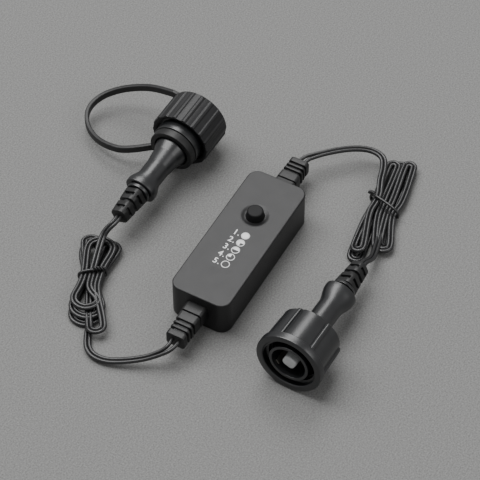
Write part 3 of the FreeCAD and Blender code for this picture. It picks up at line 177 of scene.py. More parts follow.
class PlugSizes(bpy.types.PropertyGroup):
    """Place and sizes of the plug, its cap and the cap's strap"""

    at: spot("Place", "Middle of the plug's collar plane", 0.0389, 0.0523, 0.0145)
    turn: angle("Turn", "Heading of the plug's tail", 178.4)
    drop: angle("Drop", "Slope of the plug's axis", 1.5)
    tail: size("Tail", "Distance from the collar plane to the tail's end", 33.8)
    flare: size("Flare", "Where the wings begin", 25.6)
    wing_turn: angle("Wing turn", "Turn of the wings about the axis", -22)
    relief_turn: angle("Relief turn", "Turn of the strain relief about the axis", 23)
    collar: size("Collar", "Collar radius", 11.1)
    collar_start: size("Collar start", "Where the collar begins", 0.6)
    collar_length: size("Collar length", "Collar length", 3.2)
    hub: size("Hub", "Radius of the hub for the strap's ring", 8.0)
    nose: size("Nose", "Radius of the threaded nose", 10.9)
    nose_length: size("Nose length", "Reach of the nose in front of the collar plane", 11.4)
    nose_bore: size("Nose bore", "Inner radius of the nose", 9.3)
    nose_floor: size("Nose floor", "Where the nose's bore ends", -0.6)
    cap_radius: size("Cap radius", "Cap radius over its ribs", 14.4)
    cap_length: size("Cap length", "Cap length", 17.7)
    cap_wall: size("Cap wall", "Thickness of the cap's end", 2.2)
    cap_rib: size("Cap rib", "Width of the cap's ribs", 1.7)
    cap_rib_height: size("Rib height", "Height of the cap's ribs", 0.5)
    cap_ribs: IntProperty(name="Ribs", description="Number of ribs on the cap", default=18)
    ring_inner: size("Ring bore", "Inner radius of the strap's ring", 8.3)
    ring_outer: size("Ring", "Outer radius of the strap's ring", 10.7)
    ring_start: size("Ring start", "Distance from the collar plane to the ring", 3.85)
    ring_length: size("Ring length", "Length of the ring", 3.9)
    strap_width: size("Strap thickness", "Thickness of the strap", 2.0)
    strap_height: size("Strap height", "Height of the strap", 3.6)
    strap_corner: size("Strap corner", "Corner radius of the strap", 0.6)
    tab_reach: size("Tab reach", "Distance from the axis to the strap's end at the ring", 12.2)
    tab_turn: angle("Tab turn", "Turn of the strap's end at the ring about the axis", -20)
    arm_reach: size("Arm reach", "Distance from the axis to the strap's end at the eyelet", 15.4)
    arm_turn: angle("Arm turn", "Turn of the strap's end at the eyelet about the axis", 19)
    eyelet: size("Eyelet", "Outer radius of the eyelet", 8.0)
    eyelet_bore: size("Eyelet bore", "Inner radius of the eyelet", 3.1)
    eyelet_at: size("Eyelet place", "Where the middle of the eyelet lies", -18.9)
    eyelet_length: size("Eyelet thickness", "Thickness of the eyelet", 2.0)


class SocketSizes(bpy.types.PropertyGroup):
    """Place and sizes of the socket and its coupling nut"""

    at: spot("Place", "Middle of the nut's front face", -0.0468, -0.0489, 0.01545)
    turn: angle("Turn", "Heading of the socket's tail", -1.6)
    drop: angle("Drop", "Slope of the socket's axis", 3.5)
    tail: size("Tail", "Distance from the mouth to the tail's end", 45.0)
    flare: size("Flare", "Where the wings begin", 34.5)
    wing_turn: angle("Wing turn", "Turn of the wings about the axis", 22)
    relief_turn: angle("Relief turn", "Turn of the strain relief about the axis", -26)
    floor: size("Floor", "Depth of the contact tube", 12.4)
    flange: size("Flange", "Radius of the flange that holds the nut", 10.4)
    flange_length: size("Flange length", "Length of that flange", 2.4)
    flange_back: size("Flange back", "Distance from the flange to the nut's back", 3.3)
    bead: size("Bead", "Radius of the snap bead behind the nut", 8.6)
    bead_gap: size("Bead gap", "Distance from the nut's back to the snap bead", 0.3)
    nut_radius: size("Nut ring", "Radius of the nut's front ring", 15.2)
    nut_front: size("Nut front", "Where the nut's front face stands", -1.1)
    nut_ring: size("Ring end", "Where the nut's front ring ends", 2.5)
    nut_length: size("Nut length", "Length of the nut", 18.5)
    nut_back: size("Nut back", "Thickness of the nut's back wall", 3.0)
    nut_mouth: size("Nut mouth", "Radius of the nut's mouth", 12.4)
    nut_turn: angle("Nut turn", "Turn of the nut's first ridge about the axis", 6)
    ridge: size("Ridge", "Radius over the nut's ridges", 15.0)
    lobe: size("Lobe", "Radius over the nut's lobes", 14.55)
    valley: size("Valley", "Radius of the flutes beside the ridges", 13.4)
    ridge_width: size("Ridge width", "Width of the nut's ridges", 1.3)
    taper: size("Taper", "How much slimmer the nut is at its back", 0.5)
    tube_front: size("Tube front", "Where the contact tube's rim stands", -0.9)
    tube_outer: size("Tube", "Outer radius of the contact tube", 9.2)
    tube_inner: size("Tube bore", "Inner radius of the contact tube", 7.8)
    neck: size("Neck", "Radius of the neck behind the nut", 7.9)
    stub: size("Stub", "Half width of the pale stub", 2.95)
    stub_start: size("Stub start", "Distance from the nut's face to the stub's tip", -0.2)
    stub_end: size("Stub end", "Where the stub ends inside the tube", 9.6)
    stub_turn: angle("Stub turn", "Turn of the stub about the axis", 22)
    leaf_turn: angle("Leaf turn", "Turn of the first contact leaf about the axis", -36)


class StudioSettings(bpy.types.PropertyGroup):
    """Floor, world and camera"""

    azimuth: angle("Azimuth", "Camera direction round the object", -61.15)
    elevation: angle("Elevation", "Camera direction above the floor", 50.62)
    distance: size("Distance", "Camera distance", 906.5)
    target: spot("Target", "Point that the camera looks at", 0.00518, 0.00281, 0.009)
    lens: FloatProperty(name="Lens", description="Focal length in millimetres", default=156.4, unit="CAMERA")
    floor: StringProperty(name="Floor colour", description="Floor colour as hex", default="#7c7c7b")
    world: StringProperty(name="World colour", description="World colour as hex", default="#cccccc")
    world_light: FloatProperty(name="World light", description="Strength of the world's light", default=0.6)


# The strap's route from the eyelet to the ring, as control points in metres
STRAP_ROUTE = (
    (0.0594, 0.0754, 0.0176), (0.0588, 0.0846, 0.0144), (0.0556, 0.0938, 0.0112), (0.0498, 0.1010, 0.0082),
    (0.0416, 0.1032, 0.0060), (0.0336, 0.0986, 0.0052), (0.0280, 0.0906, 0.0058), (0.0256, 0.0816, 0.0074),
    (0.0264, 0.0730, 0.0086),
)

# A hank: its middle in metres and its heading in degrees; each run's place under the tie, in cord
# widths across, and its layer; each half-turn as how far it reaches, where its middle lies across and
# its radius, in millimetres; the tie's distance ahead of the middle and its lean, in millimetres, and
# where its twisted ends begin and stop, as shares of the hank's half width
Hank = namedtuple("Hank", "middle heading waist loops ahead lean ends")
INPUT_HANK = Hank(
    middle=(-0.0412, 0.0505), heading=20.0,
    waist=((-1, 0), (1, 0), (0, 0), (1, 1), (-1, 1), (0, 1), (-1, 2), (1, 2), (0, 2)),
    loops=((23.5, 0.8, 7.2), (22.5, -0.8, 6.4), (24.5, 3.9, 3.9), (20.0, -1.0, 7.0), (21.5, -4.8, 3.8),
           (27.5, -7.2, 3.4), (22.0, -0.8, 6.0), (16.5, -0.2, 5.8)),
    ahead=3.0, lean=-1.9, ends=(-0.1, -1.0))
OUTPUT_HANK = Hank(
    middle=(0.0564, -0.0419), heading=8.7,
    waist=((-0.5, 0), (0.5, 0), (1.5, 0), (-1.5, 0), (-0.6, 1), (-1.6, 1), (0.4, 1), (1.4, 1), (1.2, 2)),
    loops=((24.5, 0.0, 2.1), (31.0, 3.6, 2.6), (29.5, -0.7, 5.4), (20.5, -6.0, 2.1), (29.0, -3.5, 2.1),
           (23.5, -5.8, 3.7), (27.0, 3.4, 2.1), (27.5, 3.6, 2.3)),
    ahead=0.6, lean=3.2, ends=(0.75, 1.15))

# A cord: control points in metres from the box to its hank and from there to its connector, the
# hank's runs in order (1) or from the last to the first (-1), and the pieces on it
Cord = namedtuple("Cord", "near hank order far connector far_end pieces")
CORDS = {
    "input": Cord(
        near=((-0.0559, 0.0, 0.0096), (-0.0599, 0.0, 0.0092), (-0.0634, 0.0034, 0.0072),
              (-0.0670, 0.0084, 0.0048), (-0.0716, 0.0166, 0.0030), (-0.0748, 0.0242, 0.0021),
              (-0.0740, 0.0316, 0.0017), (-0.0684, 0.0366, 0.0016)),
        hank=INPUT_HANK, order=1,
        far=((-0.0228, 0.0562, 0.0086), (-0.0192, 0.0559, 0.0108), (-0.0153, 0.0538, 0.0131)),
        connector="plug", far_end="plug",
        pieces=("plug_moulding", "plug_relief", "strap_ring_tab", "input_wrap")),
    "output": Cord(
        near=((0.0559, 0.0, 0.0096), (0.0599, 0.0, 0.0097), (0.0636, -0.0034, 0.0101),
              (0.0682, -0.0076, 0.0101), (0.0734, -0.0128, 0.0098), (0.0778, -0.0184, 0.0092),
              (0.0802, -0.0244, 0.0087), (0.0792, -0.0302, 0.0082), (0.0738, -0.0330, 0.0076),
              (0.0676, -0.0345, 0.0068)),
        hank=OUTPUT_HANK, order=-1,
        far=((0.0290, -0.0508, 0.0050), (0.0237, -0.0513, 0.0078), (0.0189, -0.0508, 0.0114)),
        connector="socket", far_end="connector",
        pieces=("socket_moulding", "socket_relief", "nut", "stub", "output_wrap")),
}

# Each imported node's finish, where the node itself is shown or stays inside
NODE_FINISHES = {
    "textured_black_abs": ("upper_shell", "base_plate"),
    "matt_black_silicone": ("base_gasket", "button_seal", "cap_gasket", "plug_seal", "socket_seal"),
    "zinc_plated_steel": ("case_screws",),
    "green_solder_mask": ("circuit_board",),
    "black_moulding_epoxy": ("controller_chip", "power_transistor", "reverse_diode", "voltage_regulator",
                             "chip_resistors", "tactile_switch", "switch_plunger"),
    "drawn_aluminium": ("smoothing_capacitor",),
    "tinned_brass": ("plug_contacts", "socket_contacts"),
    "red_wire_insulation": ("input_wires", "output_wires", "plug_wires", "socket_wires"),
    "dark_polyamide": ("plug_insert", "socket_insert"),
    "pale_grey_nylon": ("center_stub",),
}

NOISE_LOW, NOISE_HIGH = 0.3, 0.7  # a noise's middle range, where nearly all of its values lie


def linear(code):
    """Hex colour as linear RGBA: each channel through the sRGB curve, and full alpha."""
    channels = [int(code[i:i + 2], 16) / 255 for i in (1, 3, 5)]
    return [c / 12.92 if c <= 0.04045 else ((c + 0.055) / 1.055) ** 2.4 for c in channels] + [1.0]


def feed(tree, node, inputs):
    """Give each named or numbered input of a node its value or link."""
    for key, value in inputs.items():
        if isinstance(value, bpy.types.NodeSocket):
            tree.links.new(value, node.inputs[key])
        else:
            node.inputs[key].default_value = value


def add_node(tree, kind, inputs, **attributes):
    """Add a shader node with its attributes, its inputs' values and its links."""
    node = tree.nodes.new(kind)
    for name, value in attributes.items():
        setattr(node, name, value)
    feed(tree, node, inputs)
    return node


def blank_material(name):
    """New node material: itself, its tree, its shader and the object's own coordinates."""
    material = bpy.data.materials.new(name)
    material.use_nodes = True
    tree = material.node_tree
    coords = add_node(tree, "ShaderNodeTexCoord", {}).outputs["Object"]
    return material, tree, tree.nodes["Principled BSDF"], coords


def spread_colours(ramp, low, high):
    """Spread two linear colours over a noise's middle range."""
    for stop, place, colour in zip(ramp.color_ramp.elements, (NOISE_LOW, NOISE_HIGH), (low, high)):
        stop.position = place
        stop.color = colour


def surface(name, codes, rough, grain, depth, blotch=6.0, metallic=0.0, specular=0.5, fine=None):
    """Moulded, extruded or drawn material: mottled colour, uneven gloss and a grain.

    codes holds the hex colours of its darkest and lightest mottle, rough its lowest and highest
    roughness. In millimetres, blotch is the mottle's width, grain and depth are the grain's width and
    height, and fine is a finer grain's width and height. Colour follows the mottle's noise. Roughness
    follows the mean of mottle and grain.
    """
    material, tree, shader, coords = blank_material(name)
    common = {"Vector": coords, "Roughness": 0.55}
    wide = add_node(tree, "ShaderNodeTexNoise",
                    {**common, "Scale": 1.0 / (blotch * MM), "Detail": 3.0}).outputs["Fac"]
    small = add_node(tree, "ShaderNodeTexNoise",
                     {**common, "Scale": 1.0 / (grain * MM), "Detail": 2.0}).outputs["Fac"]
    ramp = add_node(tree, "ShaderNodeValToRGB", {"Fac": wide})
    spread_colours(ramp, *(linear(code) for code in codes.split()))
    half = add_node(tree, "ShaderNodeMath", {0: small, 1: 0.5}, operation="MULTIPLY").outputs[0]
    mean = add_node(tree, "ShaderNodeMath", {0: wide, 1: 0.5, 2: half}, operation="MULTIPLY_ADD").outputs[0]
    gloss = add_node(tree, "ShaderNodeMapRange", {
        "Value": mean, "From Min": NOISE_LOW, "From Max": NOISE_HIGH, "To Min": rough[0], "To Max": rough[1],
    }, clamp=True)
    relief = {"Height": small, "Strength": 1.0, "Distance": depth * MM}
    if fine:
        finer = add_node(tree, "ShaderNodeTexNoise", {**common, "Scale": 1.0 / (fine[0] * MM), "Detail": 1.0})
        relief["Normal"] = add_node(tree, "ShaderNodeBump", {
            "Height": finer.outputs["Fac"], "Strength": 1.0, "Distance": fine[1] * MM}).outputs["Normal"]
    bump = add_node(tree, "ShaderNodeBump", relief)
    feed(tree, shader, {"Base Color": ramp.outputs["Color"], "Roughness": gloss.outputs["Result"],
                        "Normal": bump.outputs["Normal"], "Metallic": metallic})
    if metallic == 0.0:
        feed(tree, shader, {"Specular IOR Level": specular})
    return material


def make_materials(colours):
    """Make every finish on the object.

    A pixel of the main view is about 0.45 mm. The real surfaces' grain is finer than that, 0.05 to
    0.15 mm, so each grain is drawn 2 to 5 times as wide to show. Where there is a second, finer one,
    it is close to the real width.
    """
    # ABS moulded in a spark-eroded tool: an even fine grain that spreads every highlight
    surface("textured_black_abs", colours.housing, (0.42, 0.5), 0.28, 0.02, fine=(0.11, 0.012))
    # Polypropylene moulded in a satin tool: long soft highlights along shafts and rims
    surface("satin_black_polypropylene", colours.moulding, (0.3, 0.38), 0.5, 0.006, fine=(0.16, 0.004),
            specular=0.85)
    # Polypropylene moulded in a coarser tool: matter faces, which set off the cap's ribs
    surface("matt_black_polypropylene", colours.cap, (0.42, 0.52), 0.4, 0.012, fine=(0.16, 0.008))
    # Soft PVC, moulded: slightly waxy, with dull highlights on every edge
    surface("soft_black_pvc", colours.relief, (0.42, 0.54), 0.6, 0.01, fine=(0.2, 0.008))
    # PVC sheath, extruded: smoother than the mouldings, with a thin bright line on each strand
    surface("black_pvc_cord_sheath", colours.cord, (0.3, 0.38), 0.7, 0.01, blotch=9.0, specular=0.6)
    # Silicone, moulded: the darkest finish, nearly without highlights
    surface("black_silicone", colours.key, (0.55, 0.65), 0.35, 0.008, specular=0.28)
    surface("matt_black_silicone", "#101010 #161616", (0.55, 0.7), 0.4, 0.008)
    # Natural nylon, moulded: pale and milky with a soft sheen
    surface("pale_grey_nylon", colours.stub, (0.4, 0.5), 0.5, 0.008)
    # Glass-filled polyamide, moulded: a dull dark grey
    surface("dark_polyamide", "#1c1c1d #242425", (0.5, 0.6), 0.5, 0.01)
    # Pad-print ink: an even opaque film, slightly uneven in gloss
    surface("white_pad_print_ink", colours.marks, (0.45, 0.6), 0.2, 0.003, blotch=1.0)
    # Solder mask on laminate: glossy dark green, faintly uneven
    surface("green_solder_mask", "#0e3a22 #14482b", (0.25, 0.35), 0.4, 0.006)
    # Moulded epoxy of the electronic parts: matt and slightly grainy
    surface("black_moulding_epoxy", "#18181a #202022", (0.5, 0.6), 0.3, 0.008)
    # Drawn aluminium can: bright with soft reflections
    surface("drawn_aluminium", "#b6b7ba #c4c5c8", (0.25, 0.35), 0.3, 0.002, metallic=1.0)
    # Stamped brass, tinned: a warm pale grey
    surface("tinned_brass", "#a6a49c #b4b2aa", (0.25, 0.35), 0.3, 0.002, metallic=1.0)
    # Steel screws, zinc plated: a cooler grey, a little duller
    surface("zinc_plated_steel", "#9fa1a5 #b2b4b8", (0.3, 0.42), 0.3, 0.003, metallic=1.0)
    # PVC insulation of the cores, extruded: satin red
    surface("red_wire_insulation", "#6e1414 #7c1919", (0.35, 0.45), 0.5, 0.004)


def grid(x, y, z):
    """Grid of points from coordinates that spread over each other's rows and columns."""
    return np.stack(np.broadcast_arrays(x, y, z), axis=-1)


def about_x(x, radius, turn):
    """Grid of points (x, r cos t, r sin t) at places along X, radii and turns about it."""
    return grid(x, radius * np.cos(turn), radius * np.sin(turn))


def circle(count):
    """Even turns round a circle."""
    return np.linspace(0, 2 * math.pi, count, endpoint=False)


def quarter(radius, count):
    """Quarter circle as two columns: r (1 - cos t), which grows, and r (1 - sin t), which shrinks."""
    bend = np.linspace(0, math.pi / 2, count)[:, None]
    return radius * (1 - np.cos(bend)), radius * (1 - np.sin(bend))


def smooth_step(value, low=0.0, high=1.0):
    """Smooth rise from 0 at low to 1 at high: s s (3 - 2 s) of the share s between them."""
    share = np.clip((value - low) / (high - low), 0, 1)
    return share * share * (3 - 2 * share)


def skin(points, caps=True):
    """Vertices and faces of a tube through the rows of a grid of points, each row a closed loop.

    Every face is a quad between neighbouring rows. With caps, a face closes each end.
    """
    rows, columns = points.shape[:2]
    row, column = np.meshgrid(np.arange(rows - 1), np.arange(columns), indexing="ij")
    here = row * columns + column
    after = row * columns + (column + 1) % columns
    faces = [np.stack((here, after, after + columns, here + columns), axis=-1).reshape(-1, 4)]
    if caps:
        loop = np.arange(columns)
        faces.append(np.stack((loop[::-1], loop + (rows - 1) * columns)))
    return points.reshape(-1, 3), faces


def make_piece(name, parts, finish, body, nodes=(), matrix=None, sharp=32.0):
    """Mesh object from (vertices, faces) parts, moved by a matrix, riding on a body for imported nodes.

    Points that meet are merged, so that seams close. It is smooth except at edges sharper than sharp.
    """
    if matrix is not None:
        parts = placed(parts, matrix)
    starts = np.cumsum([0] + [len(points) for points, _ in parts])
    faces = [face for start, (_, blocks) in zip(starts, parts) for block in blocks
             for face in (block + start).tolist()]
    mesh = bpy.data.meshes.new(name)
    mesh.from_pydata(np.concatenate([points for points, _ in parts]).tolist(), [], faces)
    mesh.update()
    work = bmesh.new()
    work.from_mesh(mesh)
    bmesh.ops.remove_doubles(work, verts=work.verts, dist=1e-8)
    bmesh.ops.recalc_face_normals(work, faces=work.faces)
    work.to_mesh(mesh)
    work.free()
    mesh.shade_smooth()
    mesh.set_sharp_from_angle(angle=math.radians(sharp))
    mesh.materials.append(bpy.data.materials[finish])
    piece = bpy.data.objects.new(name, mesh)
    bpy.context.scene.collection.objects.link(piece)
    if body:
        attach(piece, body)
    if nodes:
        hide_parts(*nodes)
    return piece


def placed(parts, matrix):
    """The same parts with every point p moved to M p."""
    turn = np.array(matrix.to_3x3())
    shift = np.array(matrix.translation)
    return [(points @ turn.T + shift, faces) for points, faces in parts]


def turned(parts, turn):
    """The same parts turned about X."""
    return placed(parts, Matrix.Rotation(turn, 4, "X"))


def softened(corners, steps=4):
    """Profile of (x, radius) with rounded corners, from corners (x, radius, fillet).

    Each corner c with a fillet becomes the curve a (1 - t)^2 + 2 c t (1 - t) + b t^2. Its ends a and b
    are where a circle of that radius would touch the corner's sides, or just short of a side's middle.
    """
    spots = np.array([corner[:2] for corner in corners], dtype=float)
    t = np.linspace(0, 1, steps + 1)[:, None]
    profile = [spots[:1]]
    for before, corner, after, (_, _, fillet) in zip(spots, spots[1:], spots[2:], corners[1:]):
        if fillet == 0:
            profile.append(corner[None])
            continue
        ways = np.stack((before, after)) - corner
        spans = np.linalg.norm(ways, axis=1, keepdims=True)
        ways = ways / spans
        half = math.acos(ways[0] @ ways[1]) / 2
        start, end = corner + ways * min(fillet / math.tan(half), spans.min() * 0.49)
        profile.append(start * (1 - t) ** 2 + corner * 2 * t * (1 - t) + end * t ** 2)
    return np.concatenate(profile + [spots[-1:]])


def revolved(profile, segments=96, caps=True):
    """Profile of (x, radius) turned about X; a radius of 0 closes it."""
    x, radius = np.transpose(profile)[:, :, None]
    return skin(about_x(x, np.maximum(radius, POLE), circle(segments)), caps)


def washer(profile):
    """Ring about X from a profile of (x, radius) whose last row joins its first."""
    return revolved(np.concatenate((profile, profile[:1])), caps=False)


def softened_ring(start, end, inner, outer, edge):
    """Rectangle of (x, radius) with a quarter circle at each corner, for a washer."""
    gone, left = quarter(edge, 5)
    return np.concatenate((
        np.hstack((start + gone, inner + left)), np.hstack((end - gone, inner + left))[::-1],
        np.hstack((end - gone, outer - left)), np.hstack((start + gone, outer - left))[::-1]))


def rounded_rectangle(width, height, corner, count=48):
    """Y and Z round a rectangle from +Y on, with a quarter circle at each corner."""
    side = np.repeat(np.arange(4), count // 4)
    turn = math.pi / 2 * (side + np.tile(np.linspace(0, 1, count // 4), 4))
    y = np.array((1, -1, -1, 1))[side] * (width / 2 - corner) + corner * np.cos(turn)
    z = np.array((1, 1, -1, -1))[side] * (height / 2 - corner) + corner * np.sin(turn)
    return y, z


def soft_block(start, end, first, last, edge):
    """Block along X between two rounded rectangles (width, height, corner), with rounded ends.

    At each end x goes in along a quarter circle while every side comes out along it, and the corner
    radius shrinks half as much, to no less than half the edge.
    """
    gone, left = quarter(edge, 5)
    less = left * (2, 2, 0.5)
    stations = np.concatenate((np.hstack((start + gone, first - less)),
                               np.hstack((end - gone, last - less))[::-1]))
    x, width, height, corner = stations.T[:, :, None]
    return skin(grid(x, *rounded_rectangle(width, height, np.maximum(corner, edge * 0.5))))


def traced(curve):
    """Vertices and faces that Blender makes of a curve; the curve is removed."""
    holder = bpy.data.objects.new(curve.name, curve)
    bpy.context.scene.collection.objects.link(holder)
    bpy.context.view_layer.update()
    mesh = bpy.data.meshes.new_from_object(holder)
    points = np.empty(len(mesh.vertices) * 3, dtype=np.float32)
    mesh.vertices.foreach_get("co", points)
    faces = [np.array([polygon.vertices[:]]) for polygon in mesh.polygons]
    bpy.data.objects.remove(holder)
    bpy.data.curves.remove(curve)
    bpy.data.meshes.remove(mesh)
    return points.reshape(-1, 3).astype(float), faces


def spline_points(name, route, distance):
    """Evenly spaced points along the NURBS spline through a route's control points, and its length."""
    curve = bpy.data.curves.new(name, "CURVE")
    curve.dimensions = "3D"
    curve.resolution_u = 24
    spline = curve.splines.new("NURBS")
    spline.points.add(len(route) - 1)
    for point, place in zip(spline.points, route):
        point.co = (*place, 1.0)
    spline.order_u = 3
    spline.use_endpoint_u = True
    points, _ = traced(curve)
    along = np.concatenate(([0.0], np.cumsum(np.linalg.norm(np.diff(points, axis=0), axis=1))))
    stations = np.linspace(0, along[-1], max(8, int(along[-1] / distance)))
    return np.stack([np.interp(stations, along, points[:, axis]) for axis in range(3)], axis=1), along[-1]


def unit(vectors):
    """Vectors scaled to length 1, row by row."""
    return vectors / np.linalg.norm(vectors, axis=1, keepdims=True)


def tube(points, radius, side, up, segments=14, caps=True):
    """Round tube: at each point of a path, p + r (side cos t + up sin t)."""
    turn = circle(segments)[:, None]
    ring = np.cos(turn) * side[:, None] + np.sin(turn) * up[:, None]
    return skin(points[:, None] + ring * radius, caps)


def frames_along(points):
    """Side and up of a path: side is level, z cross tangent, and up is tangent cross side."""
    tangent = unit(np.gradient(points, axis=0))
    side = unit(np.cross([0.0, 0.0, 1.0], tangent))
    return side, np.cross(tangent, side)


def frames_closed(points):
    """Side and up of a flat closed loop: side is its plane's normal, and up is tangent cross side."""
    tangent = np.roll(points, -1, axis=0) - np.roll(points, 1, axis=0)
    tangent[0] = tangent[-1] = points[1] - points[-2]
    centre = points[:-1].mean(axis=0)
    normal = unit(np.cross(points[8] - centre, points[24] - centre)[None])
    side = np.repeat(normal, len(points), axis=0)
    return side, unit(np.cross(unit(tangent), side))


def in_hank(hank, u, v, z):
    """Points at u along a hank and v across it, turned by its heading about its middle."""
    turn = math.radians(hank.heading)
    return grid(hank.middle[0] + u * math.cos(turn) - v * math.sin(turn),
                hank.middle[1] + u * math.sin(turn) + v * math.cos(turn), z)


def hank_route(hank, cords):
    """Control points of a hank, run by run, from its lower end to the run that leaves on top.

    Each run crosses the waist at its place and layer with three points, the outer two spread by a
    share that changes from run to run. The half-turn after it has five points on its arc,
    (reach - r + r cos t) along and (middle + r sin t) across, which climb evenly to the next layer.
    """
    lead = 6 * MM
    bends = np.radians((-85, -45, 0, 45, 85))
    climb = (np.arange(5) + 0.5) / 5
    parts = []
    for run, (place, layer) in enumerate(hank.waist):
        way = 1 if run % 2 == 0 else -1
        z = cords.floor + layer * cords.layer
        spread = np.array((1 + 0.15 * (run % 3), 1.0, 1 + 0.12 * ((run + 1) % 3)))
        parts.append(grid(way * lead * np.array((-1, 0, 1)), place * cords.waist_step * spread, z))
        if run == len(hank.loops):
            break
        reach, centre, radius = np.array(hank.loops[run]) * MM
        next_place, next_layer = hank.waist[run + 1]
        swing = 1 if next_place > place else -1
        parts.append(grid(way * (reach - radius + radius * np.cos(bends)),
                          centre + swing * radius * np.sin(bends),
                          z + (next_layer - layer) * cords.layer * climb))
    u, v, z = np.concatenate(parts).T
    return in_hank(hank, u, v, np.maximum(z, cords.floor))


def connector_matrix(sizes):
    """From a connector's own axes, +X towards its cord, to where it lies."""
    turn = Matrix.Rotation(sizes.turn, 4, "Z") @ Matrix.Rotation(sizes.drop, 4, "Y")
    return Matrix.Translation(Vector(sizes.at)) @ turn


def cord_line(name, cord, sizes):
    """Points along a cord from the box, round its hank, to its connector's relief, and its length."""
    shared = sizes.connectors
    connector = getattr(sizes, cord.connector)
    tip = Vector((connector.tail + shared.tail_step + shared.relief_length, 0, 0))
    hank = hank_route(cord.hank, sizes.cords)[::cord.order]
    route = np.concatenate((cord.near, hank, cord.far, [connector_matrix(connector) @ tip]))
    return spline_points(name, route, sizes.cords.sample)


class PieceOperator:
    """What the operators have in common"""

    bl_options = {"REGISTER", "UNDO"}

    def execute(self, context):
        """Make the operator's pieces from the scene's sizes."""
        self.make(context.scene.dimmer)
        return {"FINISHED"}


class DIMMER_OT_finishes(PieceOperator, bpy.types.Operator):
    """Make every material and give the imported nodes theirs"""

    bl_idname = "dimmer.finishes"
    bl_label = "Finishes"

    def make(self, sizes):
        """Make the finishes, then swap them in node by node."""
        make_materials(sizes.colours)
        for finish, nodes in NODE_FINISHES.items():
            for node in nodes:
                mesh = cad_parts[node].data
                mesh.materials.clear()
                mesh.materials.append(bpy.data.materials[finish])


class DIMMER_OT_camera(PieceOperator, bpy.types.Operator):
    """Place the camera"""

    bl_idname = "dimmer.camera"
    bl_label = "Camera"

    def make(self, sizes):
        """Stand the camera off its target by azimuth and elevation, facing it."""
        studio = sizes.studio
        lens = bpy.data.cameras.new("camera")
        lens.lens = studio.lens
        lens.sensor_width = 36.0
        lens.clip_end = 10.0
        camera = bpy.data.objects.new("camera", lens)
        bpy.context.scene.collection.objects.link(camera)
        az = studio.azimuth
        el = studio.elevation
        back = Vector((math.sin(az) * math.cos(el), -math.cos(az) * math.cos(el), math.sin(el)))
        camera.location = Vector(studio.target) + back * studio.distance
        camera.rotation_euler = back.to_track_quat("Z", "Y").to_euler()
        bpy.context.scene.camera = camera


class DIMMER_OT_cords(PieceOperator, bpy.types.Operator):
    """Lay both twin cords with their hanks"""

    bl_idname = "dimmer.cords"
    bl_label = "Cords"

    def make(self, sizes):
        """Lay two strands side by side along each cord.

        Each strand is half the pitch from the cord's line. At the box it is further off by half the
        split, which fades as (1 - s / split length)^1.5 over the distance s.
        """
        cords = sizes.cords
        for end, cord in CORDS.items():
            points, length = cord_line(end + "_line", cord, sizes)
            along = np.linspace(0, length, len(points))
            side, up = frames_along(points)
            half = cords.pitch / 2 + cords.split / 2 * np.clip(1 - along / cords.split_length, 0, 1) ** 1.5
            strands = [tube(points + side * (way * half)[:, None], cords.strand / 2, side, up)
                       for way in (-1, 1)]
            make_piece(end + "_cord", strands, "black_pvc_cord_sheath", "case",
                       (end + "_cord_a", end + "_hank", end + "_cord_b"), sharp=60.0)


class DIMMER_OT_ties(PieceOperator, bpy.types.Operator):
    """Wrap a twist tie round each hank"""

    bl_idname = "dimmer.ties"
    bl_label = "Ties"

    def make(self, sizes):
        """Wrap both hanks."""
        for end, cord in CORDS.items():
            make_piece(end + "_wrap", self.wrap(cord.hank, sizes.cords), "black_pvc_cord_sheath", "case",
                       (end + "_tie",), sharp=60.0)

    def wrap(self, hank, cords):
        """Round wire that hugs the bundle, leaning, with its twisted ends on top.

        The loop is a flattened ellipse, |cos t|^0.6 across and |sin t|^0.7 up. The ends are two helices
        of two turns, half a turn apart, that run across the top and bend down at their end.
        """
        half_cord = (cords.pitch + cords.strand) / 2
        half_width = max(place for place, _ in hank.waist) * cords.waist_step + half_cord + cords.tie * 0.55
        low = cords.tie / 2
        high = cords.floor + cords.layer * 2 + cords.strand / 2 + cords.tie * 0.6

        def leaning(u, v, z):
            """Points in the tie's own leaning plane."""
            return in_hank(hank, hank.ahead * MM + u + hank.lean * MM * v / half_width, v, z)

        spin = np.linspace(0, 2 * math.pi, 97)
        c = np.cos(spin)
        s = np.sin(spin)
        loop = leaning(0.0, half_width * np.copysign(np.abs(c) ** 0.6, c),
                       (low + high) / 2 + (high - low) / 2 * np.copysign(np.abs(s) ** 0.7, s))
        parts = [tube(loop, cords.tie / 2, *frames_closed(loop), segments=12, caps=False)]
        share = np.linspace(0, 1, 40)
        begin, stop = hank.ends
        for phase in (0.0, math.pi):
            spin = phase + share * math.pi * 4
            strand = leaning(cords.tie * 0.4 * np.cos(spin), half_width * (begin + share * (stop - begin)),
                             high + cords.tie * 0.5 + cords.tie * 0.4 * np.sin(spin) - 1.2 * MM * share ** 2)
            parts.append(tube(strand, cords.tie * 0.38, *frames_along(strand), segments=8))
        return parts


